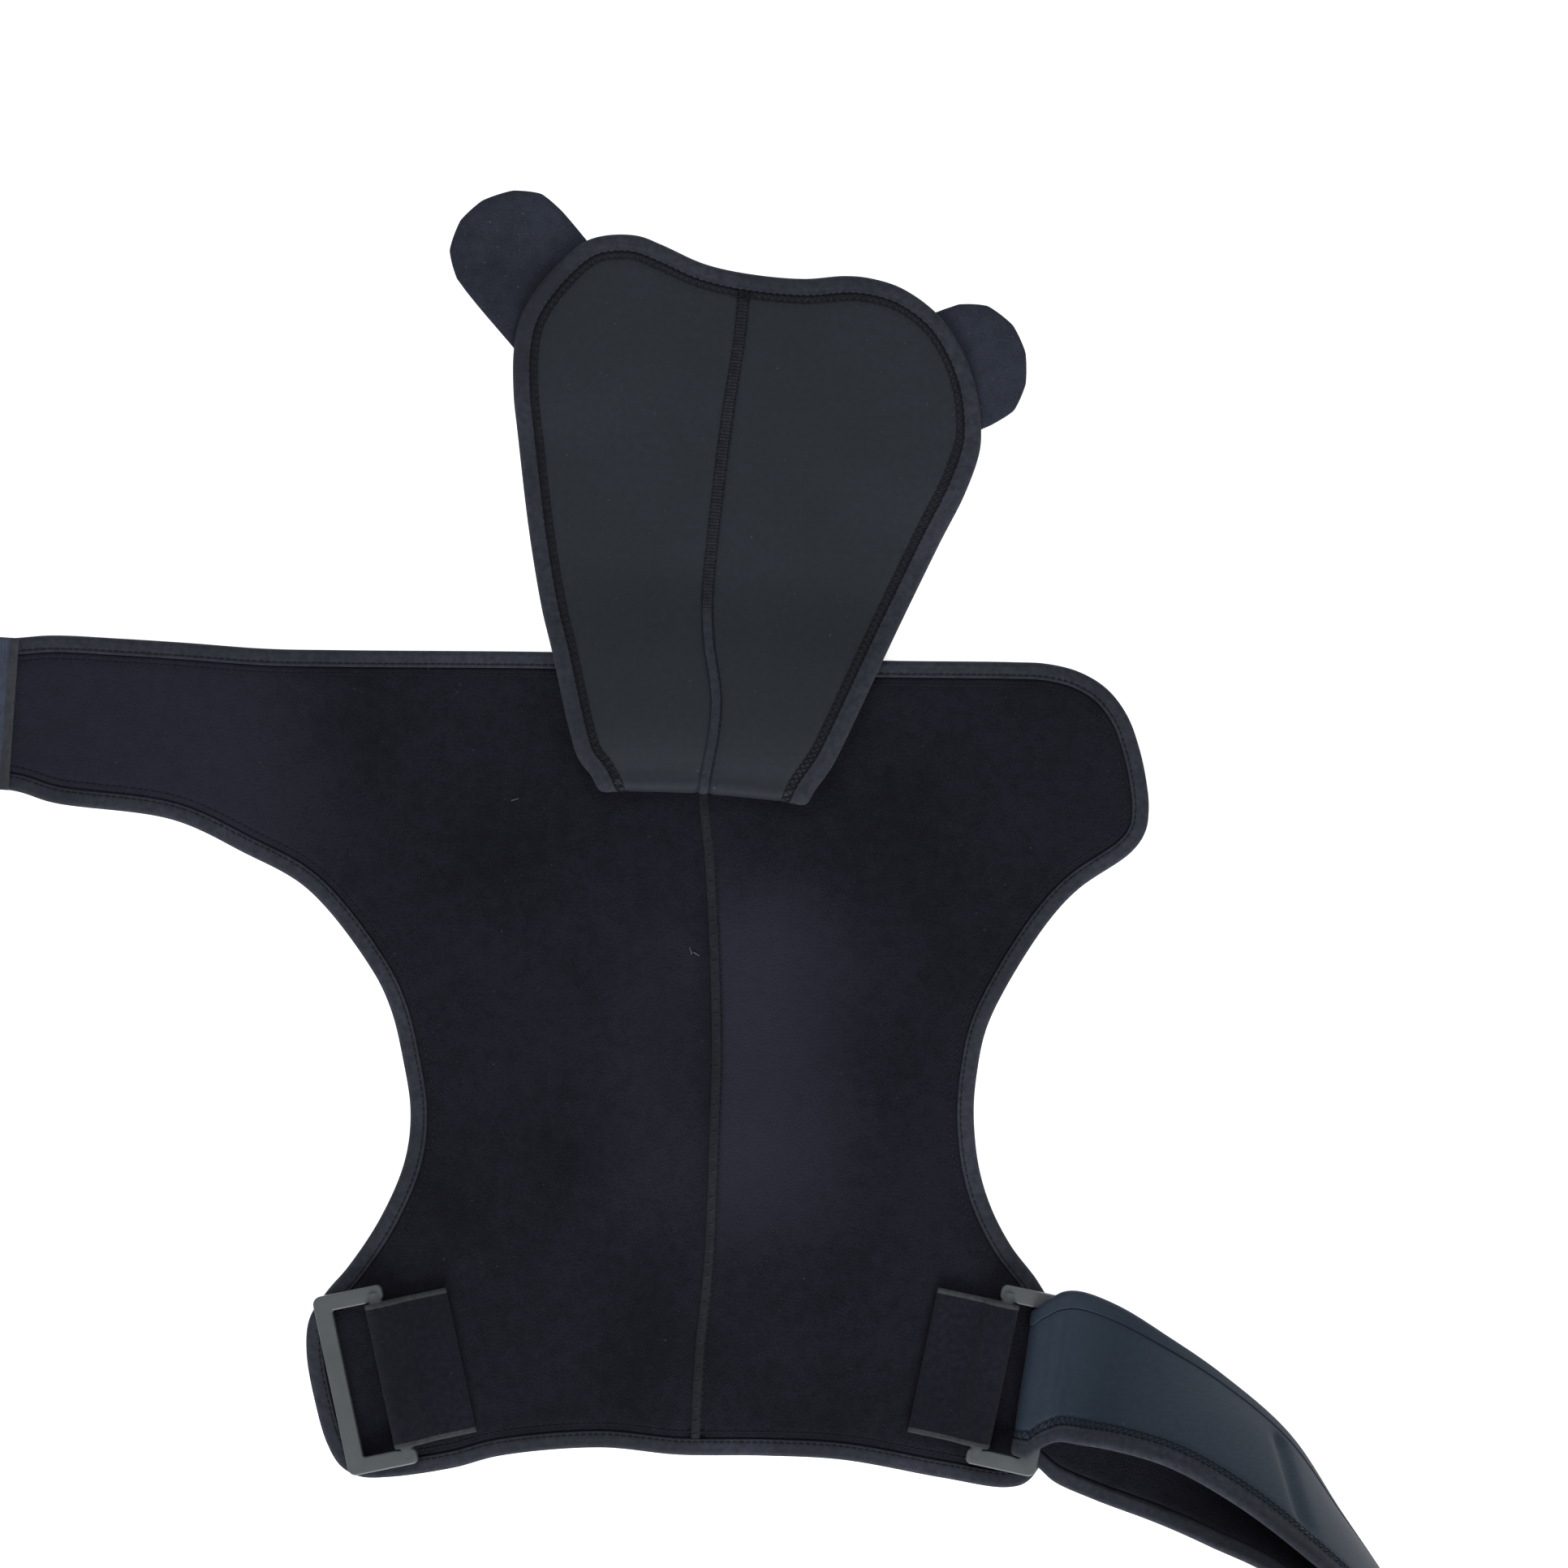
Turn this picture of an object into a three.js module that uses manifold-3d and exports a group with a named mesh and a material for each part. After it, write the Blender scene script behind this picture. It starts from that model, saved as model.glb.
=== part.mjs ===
// A shoulder brace laid out flat, inner side up: two neoprene panels joined by a centre seam,
// a neck flap folded over the top edge, two tabs, two plastic rings in webbing loops,
// a strap doubled through the right ring and a band of elastic on the left arm.
// Millimetres, +Z up. The origin is the middle of the waist, on the underside.
import * as THREE from "three";
import { mergeVertices } from "three/addons/utils/BufferGeometryUtils.js";
import Module from "manifold-3d";

const wasm = await Module();
wasm.setup();
const { degToRad, clamp, smoothstep } = THREE.MathUtils;

// Sheet materials
const NEOPRENE = 3.5; // foam with a knitted face on each side
const GAP = 0.3; // between pieces that touch
const TAPE_WIDTH = 6.6; // edge binding, folded round the raw edge
const TAPE_WALL = 1.0;
const TAPE_PROUD = 0.2; // how far the folded tape stands above the sheet
const TAPE_NOSE = 0.7; // rounding of the folded edge
const SEAM_WIDTH = 2.6;
const SEAM_RIDGE = 0.6;

// Body panels, measured from the middle of the waist
const WAIST = 222;
const SHOULDER_RISE = 181; // waist to the top edge
const HEM_DROP = 135.4; // waist to the hem
const LEFT_ARM_REACH = 268; // to the edge of the elastic
const RIGHT_ARM_REACH = 180;
const LEFT_WING_REACH = 152;
const RIGHT_WING_REACH = 145;

// Neck flap
const FLAP_WIDTH = 184;
const FLAP_LENGTH = 222; // fold to the top of the lobes
const FLAP_LAP = 24; // turned under and sewn down
const FLAP_BEND = 0.8; // inner radius of the fold
const FLAP_ARCH = 11.6; // underside at the top of the arch
const FLAP_ROLL = 90; // fold to where the flap meets the table

// Tabs
const TAB_WIDTH = 49;
const TAB_LENGTH = 58;
const TAB_THICKNESS = 1.8;
const TAB_LIFT_SPREAD = 28; // over this length the flap comes down beside a tab

// Plastic rings and their webbing loops
const RING_LENGTH = 73;
const RING_WIDTH = 28;
const RING_BAR = 7;
const RING_THICKNESS = 4;
const RING_CORNER = 3;
const PIN_DIAMETER = 5.6; // the round bar inside the webbing
const PIN_CLEARANCE = 0.4;
const RING_SPLAY = degToRad(12);
const WEBBING_THICKNESS = 1.6;
const WEBBING_LENGTH = 28; // ring's pin to the sewn end

// Strap
const STRAP_CLEARANCE = 0.5; // to each end of the ring's slot
const STRAP_SKEW = 3.5; // the fold sits this much nearer the webbing at its upper end
const STRAP_OVERHANG = 6; // over the ring's upper arm

// Elastic on the left arm
const ELASTIC_WIDTH = 60;
const ELASTIC_LENGTH = 62;
const ELASTIC_THICKNESS = 1.6;
const ELASTIC_LAP = 12; // sewn over the end of the arm
const ELASTIC_HEM = 3.2;
const ELASTIC_TURN = degToRad(-4);
const ELASTIC_PAST = 1; // its hem lies this far past the arm's named reach
const ELASTIC_UP = 0.866; // of the shoulder's rise
const ELASTIC_SLOPE = 2; // it comes down over this many times the height of its seat
const ELASTIC_HEM_RISE = 1.4; // of its thickness

const HALF_WAIST = WAIST / 2;
const TAPE_TOP = NEOPRENE + TAPE_PROUD;
const TAPE_BOTTOM = TAPE_PROUD / 2;
const LIP_BOTTOM = TAPE_BOTTOM + TAPE_WALL + GAP;
const LIP_TOP = TAPE_TOP - TAPE_WALL - GAP;
const CORE_INSET = TAPE_WIDTH + GAP;
const LIP_INSET = TAPE_WALL + GAP;

const material = (colour, roughness, metalness = 0) =>
  new THREE.MeshStandardMaterial({ color: colour, roughness, metalness });
const PILE = material(0x212228, 0.95);
const JERSEY = material(0x2d353b, 0.8);
const TAPE = material(0x2e3338, 0.85);
const WEBBING = material(0x232429, 0.85);
const FELT = material(0x2d3039, 0.95);
const ELASTIC = material(0x3b3f48, 0.8);
const PLASTIC = material(0x5e6466, 0.45);

// A closed three.js geometry as a solid that can be joined and cut
function solidOf(geometry) {
  const bare = new THREE.BufferGeometry();
  const source = geometry.index ? geometry.toNonIndexed() : geometry;
  bare.setAttribute("position", source.getAttribute("position"));
  const merged = mergeVertices(bare, 1e-4);
  const build = (triVerts) =>
    new wasm.Manifold(
      new wasm.Mesh({ numProp: 3, vertProperties: merged.attributes.position.array, triVerts }),
    );
  const facing = new Uint32Array(merged.index.array);
  const made = build(facing);
  return made.volume() >= 0 ? made : build(facing.reverse());
}

// A solid as a named mesh
function meshOf(name, solid, finish) {
  const { vertProperties, triVerts } = solid.getMesh();
  const geometry = new THREE.BufferGeometry();
  geometry.setAttribute("position", new THREE.BufferAttribute(vertProperties, 3));
  geometry.setIndex(new THREE.BufferAttribute(triVerts, 1));
  geometry.computeVertexNormals();
  const mesh = new THREE.Mesh(geometry, finish);
  mesh.name = name;
  return mesh;
}

// An upright prism over a plan outline
function prism(points, low, high) {
  const options = { depth: high - low, bevelEnabled: false };
  const geometry = new THREE.ExtrudeGeometry(new THREE.Shape(points), options);
  return solidOf(geometry.translate(0, 0, low));
}

// A skin through rings of points, closed by a flat cap at each end; section is a ring in 2-D
function loft(rings, section) {
  const size = section.length;
  const faces = [];
  for (let r = 0; r + 1 < rings.length; r++)
    for (let i = 0; i < size; i++) {
      const [a, b] = [r * size + i, r * size + ((i + 1) % size)];
      const [c, d] = [a + size, b + size];
      const [here, next] = [rings[r], rings[r + 1]];
      const j = (i + 1) % size;
      const straight = here[i].distanceTo(next[j]) <= here[j].distanceTo(next[i]);
      faces.push(...(straight ? [a, b, d, a, d, c] : [a, b, c, b, d, c]));
    }
  const last = (rings.length - 1) * size;
  for (const [a, b, c] of THREE.ShapeUtils.triangulateShape(section, [])) {
    const [p, q, s] = THREE.ShapeUtils.isClockWise(section) ? [a, b, c] : [a, c, b];
    faces.push(p, q, s, last + p, last + s, last + q);
  }
  const geometry = new THREE.BufferGeometry().setFromPoints(rings.flat());
  if (THREE.ShapeUtils.isClockWise(section)) faces.reverse();
  return solidOf(geometry.setIndex(faces));
}

// Points along a smooth curve through the rows of a table, some for each row
function smooth(points, perRow) {
  const curve = new THREE.CatmullRomCurve3(points, false, "centripetal");
  return curve.getPoints((points.length - 1) * perRow);
}

// The value of a table column between its rows, eased like the curve above
function between(rows, key, column, at) {
  const last = rows.length - 1;
  const r = clamp(rows.findIndex((row) => row[key] > at) - 1, 0, last - 1);
  const start = at >= rows[last][key] ? last - 1 : r;
  const [p, q] = [rows[start], rows[start + 1]];
  const [before, after] = [rows[Math.max(start - 1, 0)], rows[Math.min(start + 2, last)]];
  const span = q[key] - p[key];
  const t = clamp((at - p[key]) / span, 0, 1);
  const slopeIn = ((q[column] - before[column]) / (q[key] - before[key])) * span;
  const slopeOut = ((after[column] - p[column]) / (after[key] - p[key])) * span;
  const bend = t * t * (3 - 2 * t);
  return (
    p[column] * (1 - bend) + q[column] * bend +
    slopeIn * t * (1 - t) * (1 - t) - slopeOut * t * t * (1 - t)
  );
}

// The sideways direction at each point of a path, to its left, lengthened at corners
function leftOf(path, closed) {
  const count = path.length;
  return path.map((point, i) => {
    const previous = path[closed ? (i + count - 1) % count : Math.max(i - 1, 0)];
    const next = path[closed ? (i + 1) % count : Math.min(i + 1, count - 1)];
    const arriving = new THREE.Vector2(point.x - previous.x, point.y - previous.y).normalize();
    const leaving = new THREE.Vector2(next.x - point.x, next.y - point.y).normalize();
    const along = arriving.add(leaving).normalize();
    const step = leaving.lengthSq() ? leaving : along;
    const miter = Math.max(along.dot(step), 0.5);
    return new THREE.Vector2(-along.y, along.x).divideScalar(miter);
  });
}

// A closed anticlockwise outline moved inwards
function inset(outline, distance) {
  const inward = leftOf(outline, true);
  return outline.map((p, i) => new THREE.Vector2(p.x, p.y).addScaledVector(inward[i], distance));
}

// The section of a tape folded round an edge: x is measured in from the edge, y up from the sheet's underside
function tapeSection() {
  const middle = (TAPE_TOP + TAPE_BOTTOM) / 2;
  return [
    [TAPE_WIDTH, TAPE_TOP], [TAPE_NOSE, TAPE_TOP], [0, middle],
    [TAPE_NOSE, TAPE_BOTTOM], [TAPE_WIDTH, TAPE_BOTTOM],
    [TAPE_WIDTH, TAPE_BOTTOM + TAPE_WALL], [TAPE_WALL, TAPE_BOTTOM + TAPE_WALL],
    [TAPE_WALL, TAPE_TOP - TAPE_WALL], [TAPE_WIDTH, TAPE_TOP - TAPE_WALL],
  ].map(([x, y]) => new THREE.Vector2(x, y));
}

// What the tape and its gap take out of a sheet, which leaves a thin lip between the tape's two leaves
function tapeRoom() {
  const beyond = NEOPRENE;
  return [
    [CORE_INSET, TAPE_TOP + beyond], [-beyond, TAPE_TOP + beyond],
    [-beyond, -beyond], [CORE_INSET, -beyond],
    [CORE_INSET, LIP_BOTTOM], [LIP_INSET, LIP_BOTTOM],
    [LIP_INSET, LIP_TOP], [CORE_INSET, LIP_TOP],
  ].map(([x, y]) => new THREE.Vector2(x, y));
}

// A section carried along an edge, over a sheet whose underside is given by a function of the plan
function alongEdge(path, section, underside) {
  const inward = leftOf(path, false);
  const rings = path.map((p, i) =>
    section.map(({ x, y }) => {
      const [px, py] = [p.x + inward[i].x * x, p.y + inward[i].y * x];
      return new THREE.Vector3(px, py, underside(px, py) + y);
    }),
  );
  return loft(rings, section);
}

// Body outline, anticlockwise from the end of the left arm. "out" runs from the waist's edge, 0, to the
// reach of the arm or wing, 1; "across" is a share of half the waist; "up" is a share of the shoulder's
// rise, or below the waist of the hem's drop.
const LEFT_ARM_UNDERSIDE = [
  { out: 1.25, up: 0.71 },
  { out: 1.0, up: 0.7 },
  { out: 0.895, up: 0.673 },
  { out: 0.596, up: 0.636 },
  { out: 0.421, up: 0.566 },
  { out: 0.259, up: 0.486 },
  { out: 0.096, up: 0.309 },
  { out: 0.049, up: 0.223 },
  { out: 0.02, up: 0.12 },
  { out: 0, up: 0 },
];
const LEFT_WING = [
  { out: 0.056, up: -0.142 },
  { out: 0.288, up: -0.307 },
  { out: 0.598, up: -0.449 },
  { out: 0.8, up: -0.52 },
  { out: 0.97, up: -0.6 },
  { out: 1.0, up: -0.697 },
  { out: 0.91, up: -0.853 },
  { out: 0.8, up: -0.965 },
  { out: 0.67, up: -1.03 },
  { out: 0.49, up: -1.06 },
  { out: 0.21, up: -1.062 },
];
const HEM = [
  { across: -0.847, up: -1.035 },
  { across: -0.682, up: -1.0 },
  { across: -0.327, up: -0.976 },
  { across: -0.052, up: -0.997 },
  { across: 0.26, up: -1.0 },
  { across: 0.535, up: -1.012 },
  { across: 0.887, up: -1.064 },
];
const RIGHT_WING = [
  { out: 0.382, up: -1.092 },
  { out: 0.62, up: -1.075 },
  { out: 0.82, up: -1.0 },
  { out: 0.95, up: -0.874 },
  { out: 1.0, up: -0.731 },
  { out: 0.94, up: -0.591 },
  { out: 0.746, up: -0.494 },
  { out: 0.429, up: -0.388 },
  { out: 0.195, up: -0.274 },
  { out: 0.055, up: -0.154 },
];
const RIGHT_ARM = [
  { out: 0, up: 0 },
  { out: 0.019, up: 0.087 },
  { out: 0.069, up: 0.178 },
  { out: 0.18, up: 0.269 },
  { out: 0.42, up: 0.412 },
  { out: 0.596, up: 0.485 },
  { out: 0.9, up: 0.566 },
  { out: 0.98, up: 0.61 },
  { out: 1.0, up: 0.66 },
  { out: 0.988, up: 0.715 },
  { out: 0.947, up: 0.79 },
  { out: 0.877, up: 0.863 },
  { out: 0.762, up: 0.921 },
  { out: 0.605, up: 0.958 },
  { out: 0.42, up: 0.976 },
  { out: 0.2, up: 0.98 },
];
const TOP_EDGE = [
  { across: 0.7, up: 0.983 },
  { across: 0.1, up: 0.992 },
  { across: -0.5, up: 1.002 },
];
const LEFT_ARM_TOP = [
  { out: 0.177, up: 1.006 },
  { out: 0.36, up: 1.009 },
  { out: 0.564, up: 1.022 },
  { out: 0.727, up: 1.031 },
  { out: 0.9, up: 1.038 },
  { out: 1.0, up: 1.032 },
  { out: 1.25, up: 1.026 },
];

const heightOf = (up) => up * (up < 0 ? HEM_DROP : SHOULDER_RISE);
const limb = (rows, side, reach) =>
  rows.map(({ out, up }) => {
    const x = side * (HALF_WAIST + out * (reach - HALF_WAIST));
    return new THREE.Vector3(x, heightOf(up), 0);
  });
const middle = (rows) =>
  rows.map(({ across, up }) => new THREE.Vector3(across * HALF_WAIST, heightOf(up), 0));

function bodyOutline() {
  const corners = [
    ...limb(LEFT_ARM_UNDERSIDE, -1, LEFT_ARM_REACH),
    ...limb(LEFT_WING, -1, LEFT_WING_REACH),
    ...middle(HEM),
    ...limb(RIGHT_WING, 1, RIGHT_WING_REACH),
    ...limb(RIGHT_ARM, 1, RIGHT_ARM_REACH),
    ...middle(TOP_EDGE),
    ...limb(LEFT_ARM_TOP, -1, LEFT_ARM_REACH),
  ];
  return smooth(corners, 2);
}

// The centre seam of the body, from past the hem to past the top edge; "across" is a share of the waist
const BODY_SEAM = [
  { up: -1.3, across: 0.002 },
  { up: -0.94, across: 0.006 },
  { up: -0.68, across: 0.014 },
  { up: -0.44, across: 0.029 },
  { up: -0.06, across: 0.039 },
  { up: 0.12, across: 0.043 },
  { up: 0.3, across: 0.041 },
  { up: 0.55, across: 0.031 },
  { up: 0.7, across: 0.02 },
  { up: 1.2, across: 0.024 },
];

// A strip of the plan along a seam, or all the plan on one side of it
function seamRegion(line, offset, side, far) {
  const edge = line.map((p) => new THREE.Vector2(p.x + side * offset, p.y));
  const back = far
    ? [new THREE.Vector2(side * far, line.at(-1).y), new THREE.Vector2(side * far, line[0].y)]
    : line.map((p) => new THREE.Vector2(p.x - side * offset, p.y)).reverse();
  return [...edge, ...back];
}

function buildBody(group) {
  const outline = bodyOutline();
  const far = LEFT_ARM_REACH + RIGHT_ARM_REACH;
  const armEnd = LEFT_ARM_REACH + ELASTIC_LAP;
  const trim = prism(
    [[-armEnd, -far], [far, -far], [far, far], [-armEnd, far]].map(([x, y]) => new THREE.Vector2(x, y)),
    -NEOPRENE,
    NEOPRENE * 2,
  );
  const core = prism(inset(outline, CORE_INSET), 0, NEOPRENE);
  const lip = prism(inset(outline, LIP_INSET), LIP_BOTTOM, LIP_TOP);
  const sheet = core.add(lip).intersect(trim);
  const seam = smooth(
    BODY_SEAM.map(({ across, up }) => new THREE.Vector3(across * WAIST, heightOf(up), 0)),
    2,
  );
  for (const [name, side] of [["panel_left", -1], ["panel_right", 1]]) {
    const region = prism(seamRegion(seam, SEAM_WIDTH / 2 + GAP, side, far), -NEOPRENE, NEOPRENE * 2);
    group.add(meshOf(name, sheet.intersect(region), PILE));
  }
  const strip = seamRegion(seam, SEAM_WIDTH / 2, 1);
  const belowFlap = foldLine(0) - NEOPRENE * 2;
  const ridge = prism(strip, 0, NEOPRENE + SEAM_RIDGE)
    .intersect(prism(inset(outline, CORE_INSET), 0, NEOPRENE * 2))
    .intersect(
      prism(
        [[-far, -far], [far, -far], [far, belowFlap], [-far, belowFlap]].map(
          ([x, y]) => new THREE.Vector2(x, y),
        ),
        0,
        NEOPRENE * 2,
      ),
    );
  const flush = sheet.intersect(prism(strip, -NEOPRENE, NEOPRENE * 2));
  group.add(meshOf("body_seam", flush.add(ridge), TAPE));
  const tape = alongEdge(outline, tapeSection(), () => 0).intersect(trim);
  group.add(meshOf("body_binding", tape, TAPE));
}

// Neck flap: "across" is a share of its width and "along" of its length, from the middle of the fold
const FLAP_ROOT = new THREE.Vector2(0.018 * WAIST, 0.682 * SHOULDER_RISE);
const FLAP_OUTLINE = [
  { across: 0.24, along: 0.013 },
  { across: 0.277, along: 0.056 },
  { across: 0.305, along: 0.101 },
  { across: 0.397, along: 0.263 },
  { across: 0.509, along: 0.454 },
  { across: 0.563, along: 0.542 },
  { across: 0.594, along: 0.616 },
  { across: 0.597, along: 0.66 },
  { across: 0.589, along: 0.718 },
  { across: 0.563, along: 0.784 },
  { across: 0.509, along: 0.855 },
  { across: 0.429, along: 0.905 },
  { across: 0.358, along: 0.924 },
  { across: 0.305, along: 0.928 },
  { across: 0.216, along: 0.923 },
  { across: 0.091, along: 0.933 },
  { across: 0.003, along: 0.95 },
  { across: -0.086, along: 0.983 },
  { across: -0.138, along: 0.999 },
  { across: -0.21, along: 0.999 },
  { across: -0.258, along: 0.985 },
  { across: -0.343, along: 0.917 },
  { across: -0.387, along: 0.858 },
  { across: -0.403, along: 0.8 },
  { across: -0.404, along: 0.718 },
  { across: -0.396, along: 0.652 },
  { across: -0.37, along: 0.468 },
  { across: -0.343, along: 0.336 },
  { across: -0.321, along: 0.263 },
  { across: -0.281, along: 0.115 },
  { across: -0.264, along: 0.071 },
  { across: -0.236, along: 0.04 },
];
const FLAP_SEAM = [
  { along: -0.1, across: -0.005 },
  { along: 0, across: 0.0 },
  { along: 0.12, across: 0.025 },
  { along: 0.18, across: 0.03 },
  { along: 0.28, across: 0.014 },
  { along: 0.35, across: 0.011 },
  { along: 0.52, across: 0.03 },
  { along: 0.69, across: 0.056 },
  { along: 0.84, across: 0.083 },
  { along: 1.05, across: 0.1 },
];
// The arch of the flap's underside, from the fold to the table
const FLAP_PROFILE = [
  { roll: 0, rise: 0.76 },
  { roll: 0.12, rise: 0.88 },
  { roll: 0.28, rise: 1.0 },
  { roll: 0.44, rise: 0.9 },
  { roll: 0.62, rise: 0.66 },
  { roll: 0.8, rise: 0.26 },
  { roll: 0.92, rise: 0.05 },
  { roll: 1, rise: 0 },
];
// Where each tab leaves the flap, and how much of its length lies under it
const TABS = [
  { name: "tab_left", across: -0.333, along: 0.903, angle: degToRad(129.5), tucked: 0.25 },
  { name: "tab_right", across: 0.555, along: 0.761, angle: degToRad(22), tucked: 0.55 },
];

const onFlap = ({ across, along }) =>
  new THREE.Vector3(FLAP_ROOT.x + across * FLAP_WIDTH, FLAP_ROOT.y + along * FLAP_LENGTH, 0);

// The fold at the flap's lower edge dips toward the right
const FOLD_RISE = 0.013; // left of the dip, as a share of the flap's length
const FOLD_DIP = 0.165;
const FOLD_DIP_FROM = 0.16; // the dip starts this share of the flap's width left of its middle
function foldLine(x) {
  const dip = clamp((x - FLAP_ROOT.x) / FLAP_WIDTH + FOLD_DIP_FROM, 0, 1);
  return FLAP_ROOT.y + FLAP_LENGTH * (FOLD_RISE - FOLD_DIP * dip * dip);
}

// How much a tab under the flap lifts it
function tabLift(x, y) {
  const lifts = TABS.map((tab) => {
    const root = onFlap(tab);
    const back = TAB_LENGTH * tab.tucked * 0.5;
    const away = Math.hypot(
      x - root.x + back * Math.cos(tab.angle),
      y - root.y + back * Math.sin(tab.angle),
    );
    const reach = Math.hypot(TAB_WIDTH, TAB_LENGTH * tab.tucked) / 2 + TAPE_WIDTH;
    return 1 - smoothstep(away, reach, reach + TAB_LIFT_SPREAD);
  });
  return (TAB_THICKNESS + GAP) * Math.max(...lifts);
}

// The underside of the flap where it lies over the body and the table
function flapUnderside(x, y) {
  const roll = (y - foldLine(x)) / FLAP_ROLL;
  return between(FLAP_PROFILE, "roll", "rise", roll) * FLAP_ARCH + tabLift(x, y);
}

// The folded blank that the flap is cut from, as shares of the flap's width and length
const FLAP_BLANK = { left: -0.45, right: 0.64, top: 1.03 };

// The flap's section along its length at one place across it: sewn lap, fold, arch and lobes
function flapSection(x) {
  const fold = foldLine(x);
  const seat = NEOPRENE + GAP;
  const outer = NEOPRENE + FLAP_BEND;
  const centre = new THREE.Vector2(fold + outer, seat + outer);
  const halfTurn = (radius, steps) =>
    Array.from({ length: steps + 1 }, (_, i) => {
      const turn = -Math.PI / 2 - (i / steps) * Math.PI;
      return new THREE.Vector2(centre.x + radius * Math.cos(turn), centre.y + radius * Math.sin(turn));
    });
  const end = FLAP_ROOT.y + FLAP_LENGTH * FLAP_BLANK.top;
  const STEPS = 17;
  const CLOSER_NEAR_FOLD = 1.3;
  const runs = Array.from({ length: STEPS + 1 }, (_, i) => {
    const y = centre.x + (end - centre.x) * (i / STEPS) ** CLOSER_NEAR_FOLD;
    return new THREE.Vector2(y, flapUnderside(x, y));
  });
  const top = runs.map((p) => new THREE.Vector2(p.x, p.y + NEOPRENE));
  const sewn = fold + outer + FLAP_LAP;
  return [
    new THREE.Vector2(sewn, seat + NEOPRENE),
    ...halfTurn(FLAP_BEND, 4).slice(0, -1),
    ...runs,
    ...top.reverse(),
    ...halfTurn(outer, 6).slice(0, -1).reverse(),
    new THREE.Vector2(sewn, seat),
  ];
}

function buildFlap(group) {
  const STATIONS = 14;
  const from = onFlap({ across: FLAP_BLANK.left, along: 0 }).x;
  const to = onFlap({ across: FLAP_BLANK.right, along: 0 }).x;
  const rings = Array.from({ length: STATIONS + 1 }, (_, i) => {
    const x = from + ((to - from) * i) / STATIONS;
    return flapSection(x).map((p) => new THREE.Vector3(x, p.x, p.y));
  });
  const folded = loft(rings, flapSection(from));
  const edge = smooth(FLAP_OUTLINE.map(onFlap), 2);
  const [first, last] = [edge[0], edge.at(-1)];
  const below = foldLine(0) - FLAP_LAP;
  const plan = [
    ...edge.map((p) => new THREE.Vector2(p.x, p.y)),
    new THREE.Vector2(last.x + NEOPRENE, below),
    new THREE.Vector2(first.x - NEOPRENE, below),
  ];
  const tall = FLAP_ARCH + NEOPRENE * 3;
  const sheet = folded
    .intersect(prism(plan, -NEOPRENE, tall))
    .subtract(alongEdge(edge, tapeRoom(), flapUnderside));
  const seam = smooth(FLAP_SEAM.map(onFlap), 2);
  for (const [name, side] of [["flap_left", -1], ["flap_right", 1]]) {
    const region = prism(seamRegion(seam, SEAM_WIDTH / 2 + GAP, side, FLAP_WIDTH), -NEOPRENE, tall);
    group.add(meshOf(name, sheet.intersect(region), JERSEY));
  }
  const strip = prism(seamRegion(seam, SEAM_WIDTH / 2, 1), -NEOPRENE, tall);
  group.add(meshOf("flap_seam", sheet.intersect(strip), TAPE));
  group.add(meshOf("flap_binding", alongEdge(edge, tapeSection(), flapUnderside), TAPE));
}

// A tab cut from fleece, with a blunt many-sided end; "along" starts at its sewn end
const TAB_OUTLINE = [
  { along: 0, across: -0.5 },
  { along: 0.6, across: -0.5 },
  { along: 0.78, across: -0.46 },
  { along: 0.92, across: -0.3 },
  { along: 1.0, across: -0.06 },
  { along: 0.99, across: 0.18 },
  { along: 0.88, across: 0.4 },
  { along: 0.7, across: 0.5 },
  { along: 0, across: 0.5 },
];

function buildTabs(group) {
  for (const tab of TABS) {
    const root = onFlap(tab);
    const outline = TAB_OUTLINE.map(
      ({ along, across }) =>
        new THREE.Vector2((along - tab.tucked) * TAB_LENGTH, across * TAB_WIDTH).rotateAround(
          new THREE.Vector2(0, 0),
          tab.angle,
        ),
    ).map((p) => p.add(root));
    group.add(meshOf(tab.name, prism(outline, 0, TAB_THICKNESS), FELT));
  }
}

// Rings: the pin lies in the webbing loop, the wide bar points away from the body
const PIN_RADIUS = PIN_DIAMETER / 2;
const LOOP_RADIUS = PIN_RADIUS + PIN_CLEARANCE;
const SLOT_LENGTH = RING_LENGTH - 2 * RING_BAR;
const PIN_TO_BAR = RING_WIDTH - RING_BAR;
const PIN_HEIGHT = NEOPRENE + GAP + WEBBING_THICKNESS + LOOP_RADIUS;
const PIN_ACROSS = 1.065 * HALF_WAIST;
const PIN_UP = heightOf(-0.761);
const STRAP_WIDTH = SLOT_LENGTH - 2 * STRAP_CLEARANCE;

// A free ring's bar rests on the wing; a threaded ring's bar lies on the strap's lower layer
const FREE_TILT = Math.asin(
  (PIN_HEIGHT - TAPE_TOP - GAP - RING_THICKNESS / 2) / (RING_WIDTH - RING_BAR / 2),
);
const STRAP_SEAT = TAPE_TOP + 2 * GAP + NEOPRENE;
const THREADED_TILT = -Math.asin(
  (STRAP_SEAT + GAP + RING_THICKNESS / 2 - PIN_HEIGHT) / (PIN_TO_BAR - RING_BAR / 2),
);

function roundedRectangle(shape, x0, y0, x1, y1, radius) {
  shape.absarc(x1 - radius, y0 + radius, radius, -Math.PI / 2, 0);
  shape.absarc(x1 - radius, y1 - radius, radius, 0, Math.PI / 2);
  shape.absarc(x0 + radius, y1 - radius, radius, Math.PI / 2, Math.PI);
  shape.absarc(x0 + radius, y0 + radius, radius, Math.PI, Math.PI * 1.5);
  return shape;
}

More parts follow.
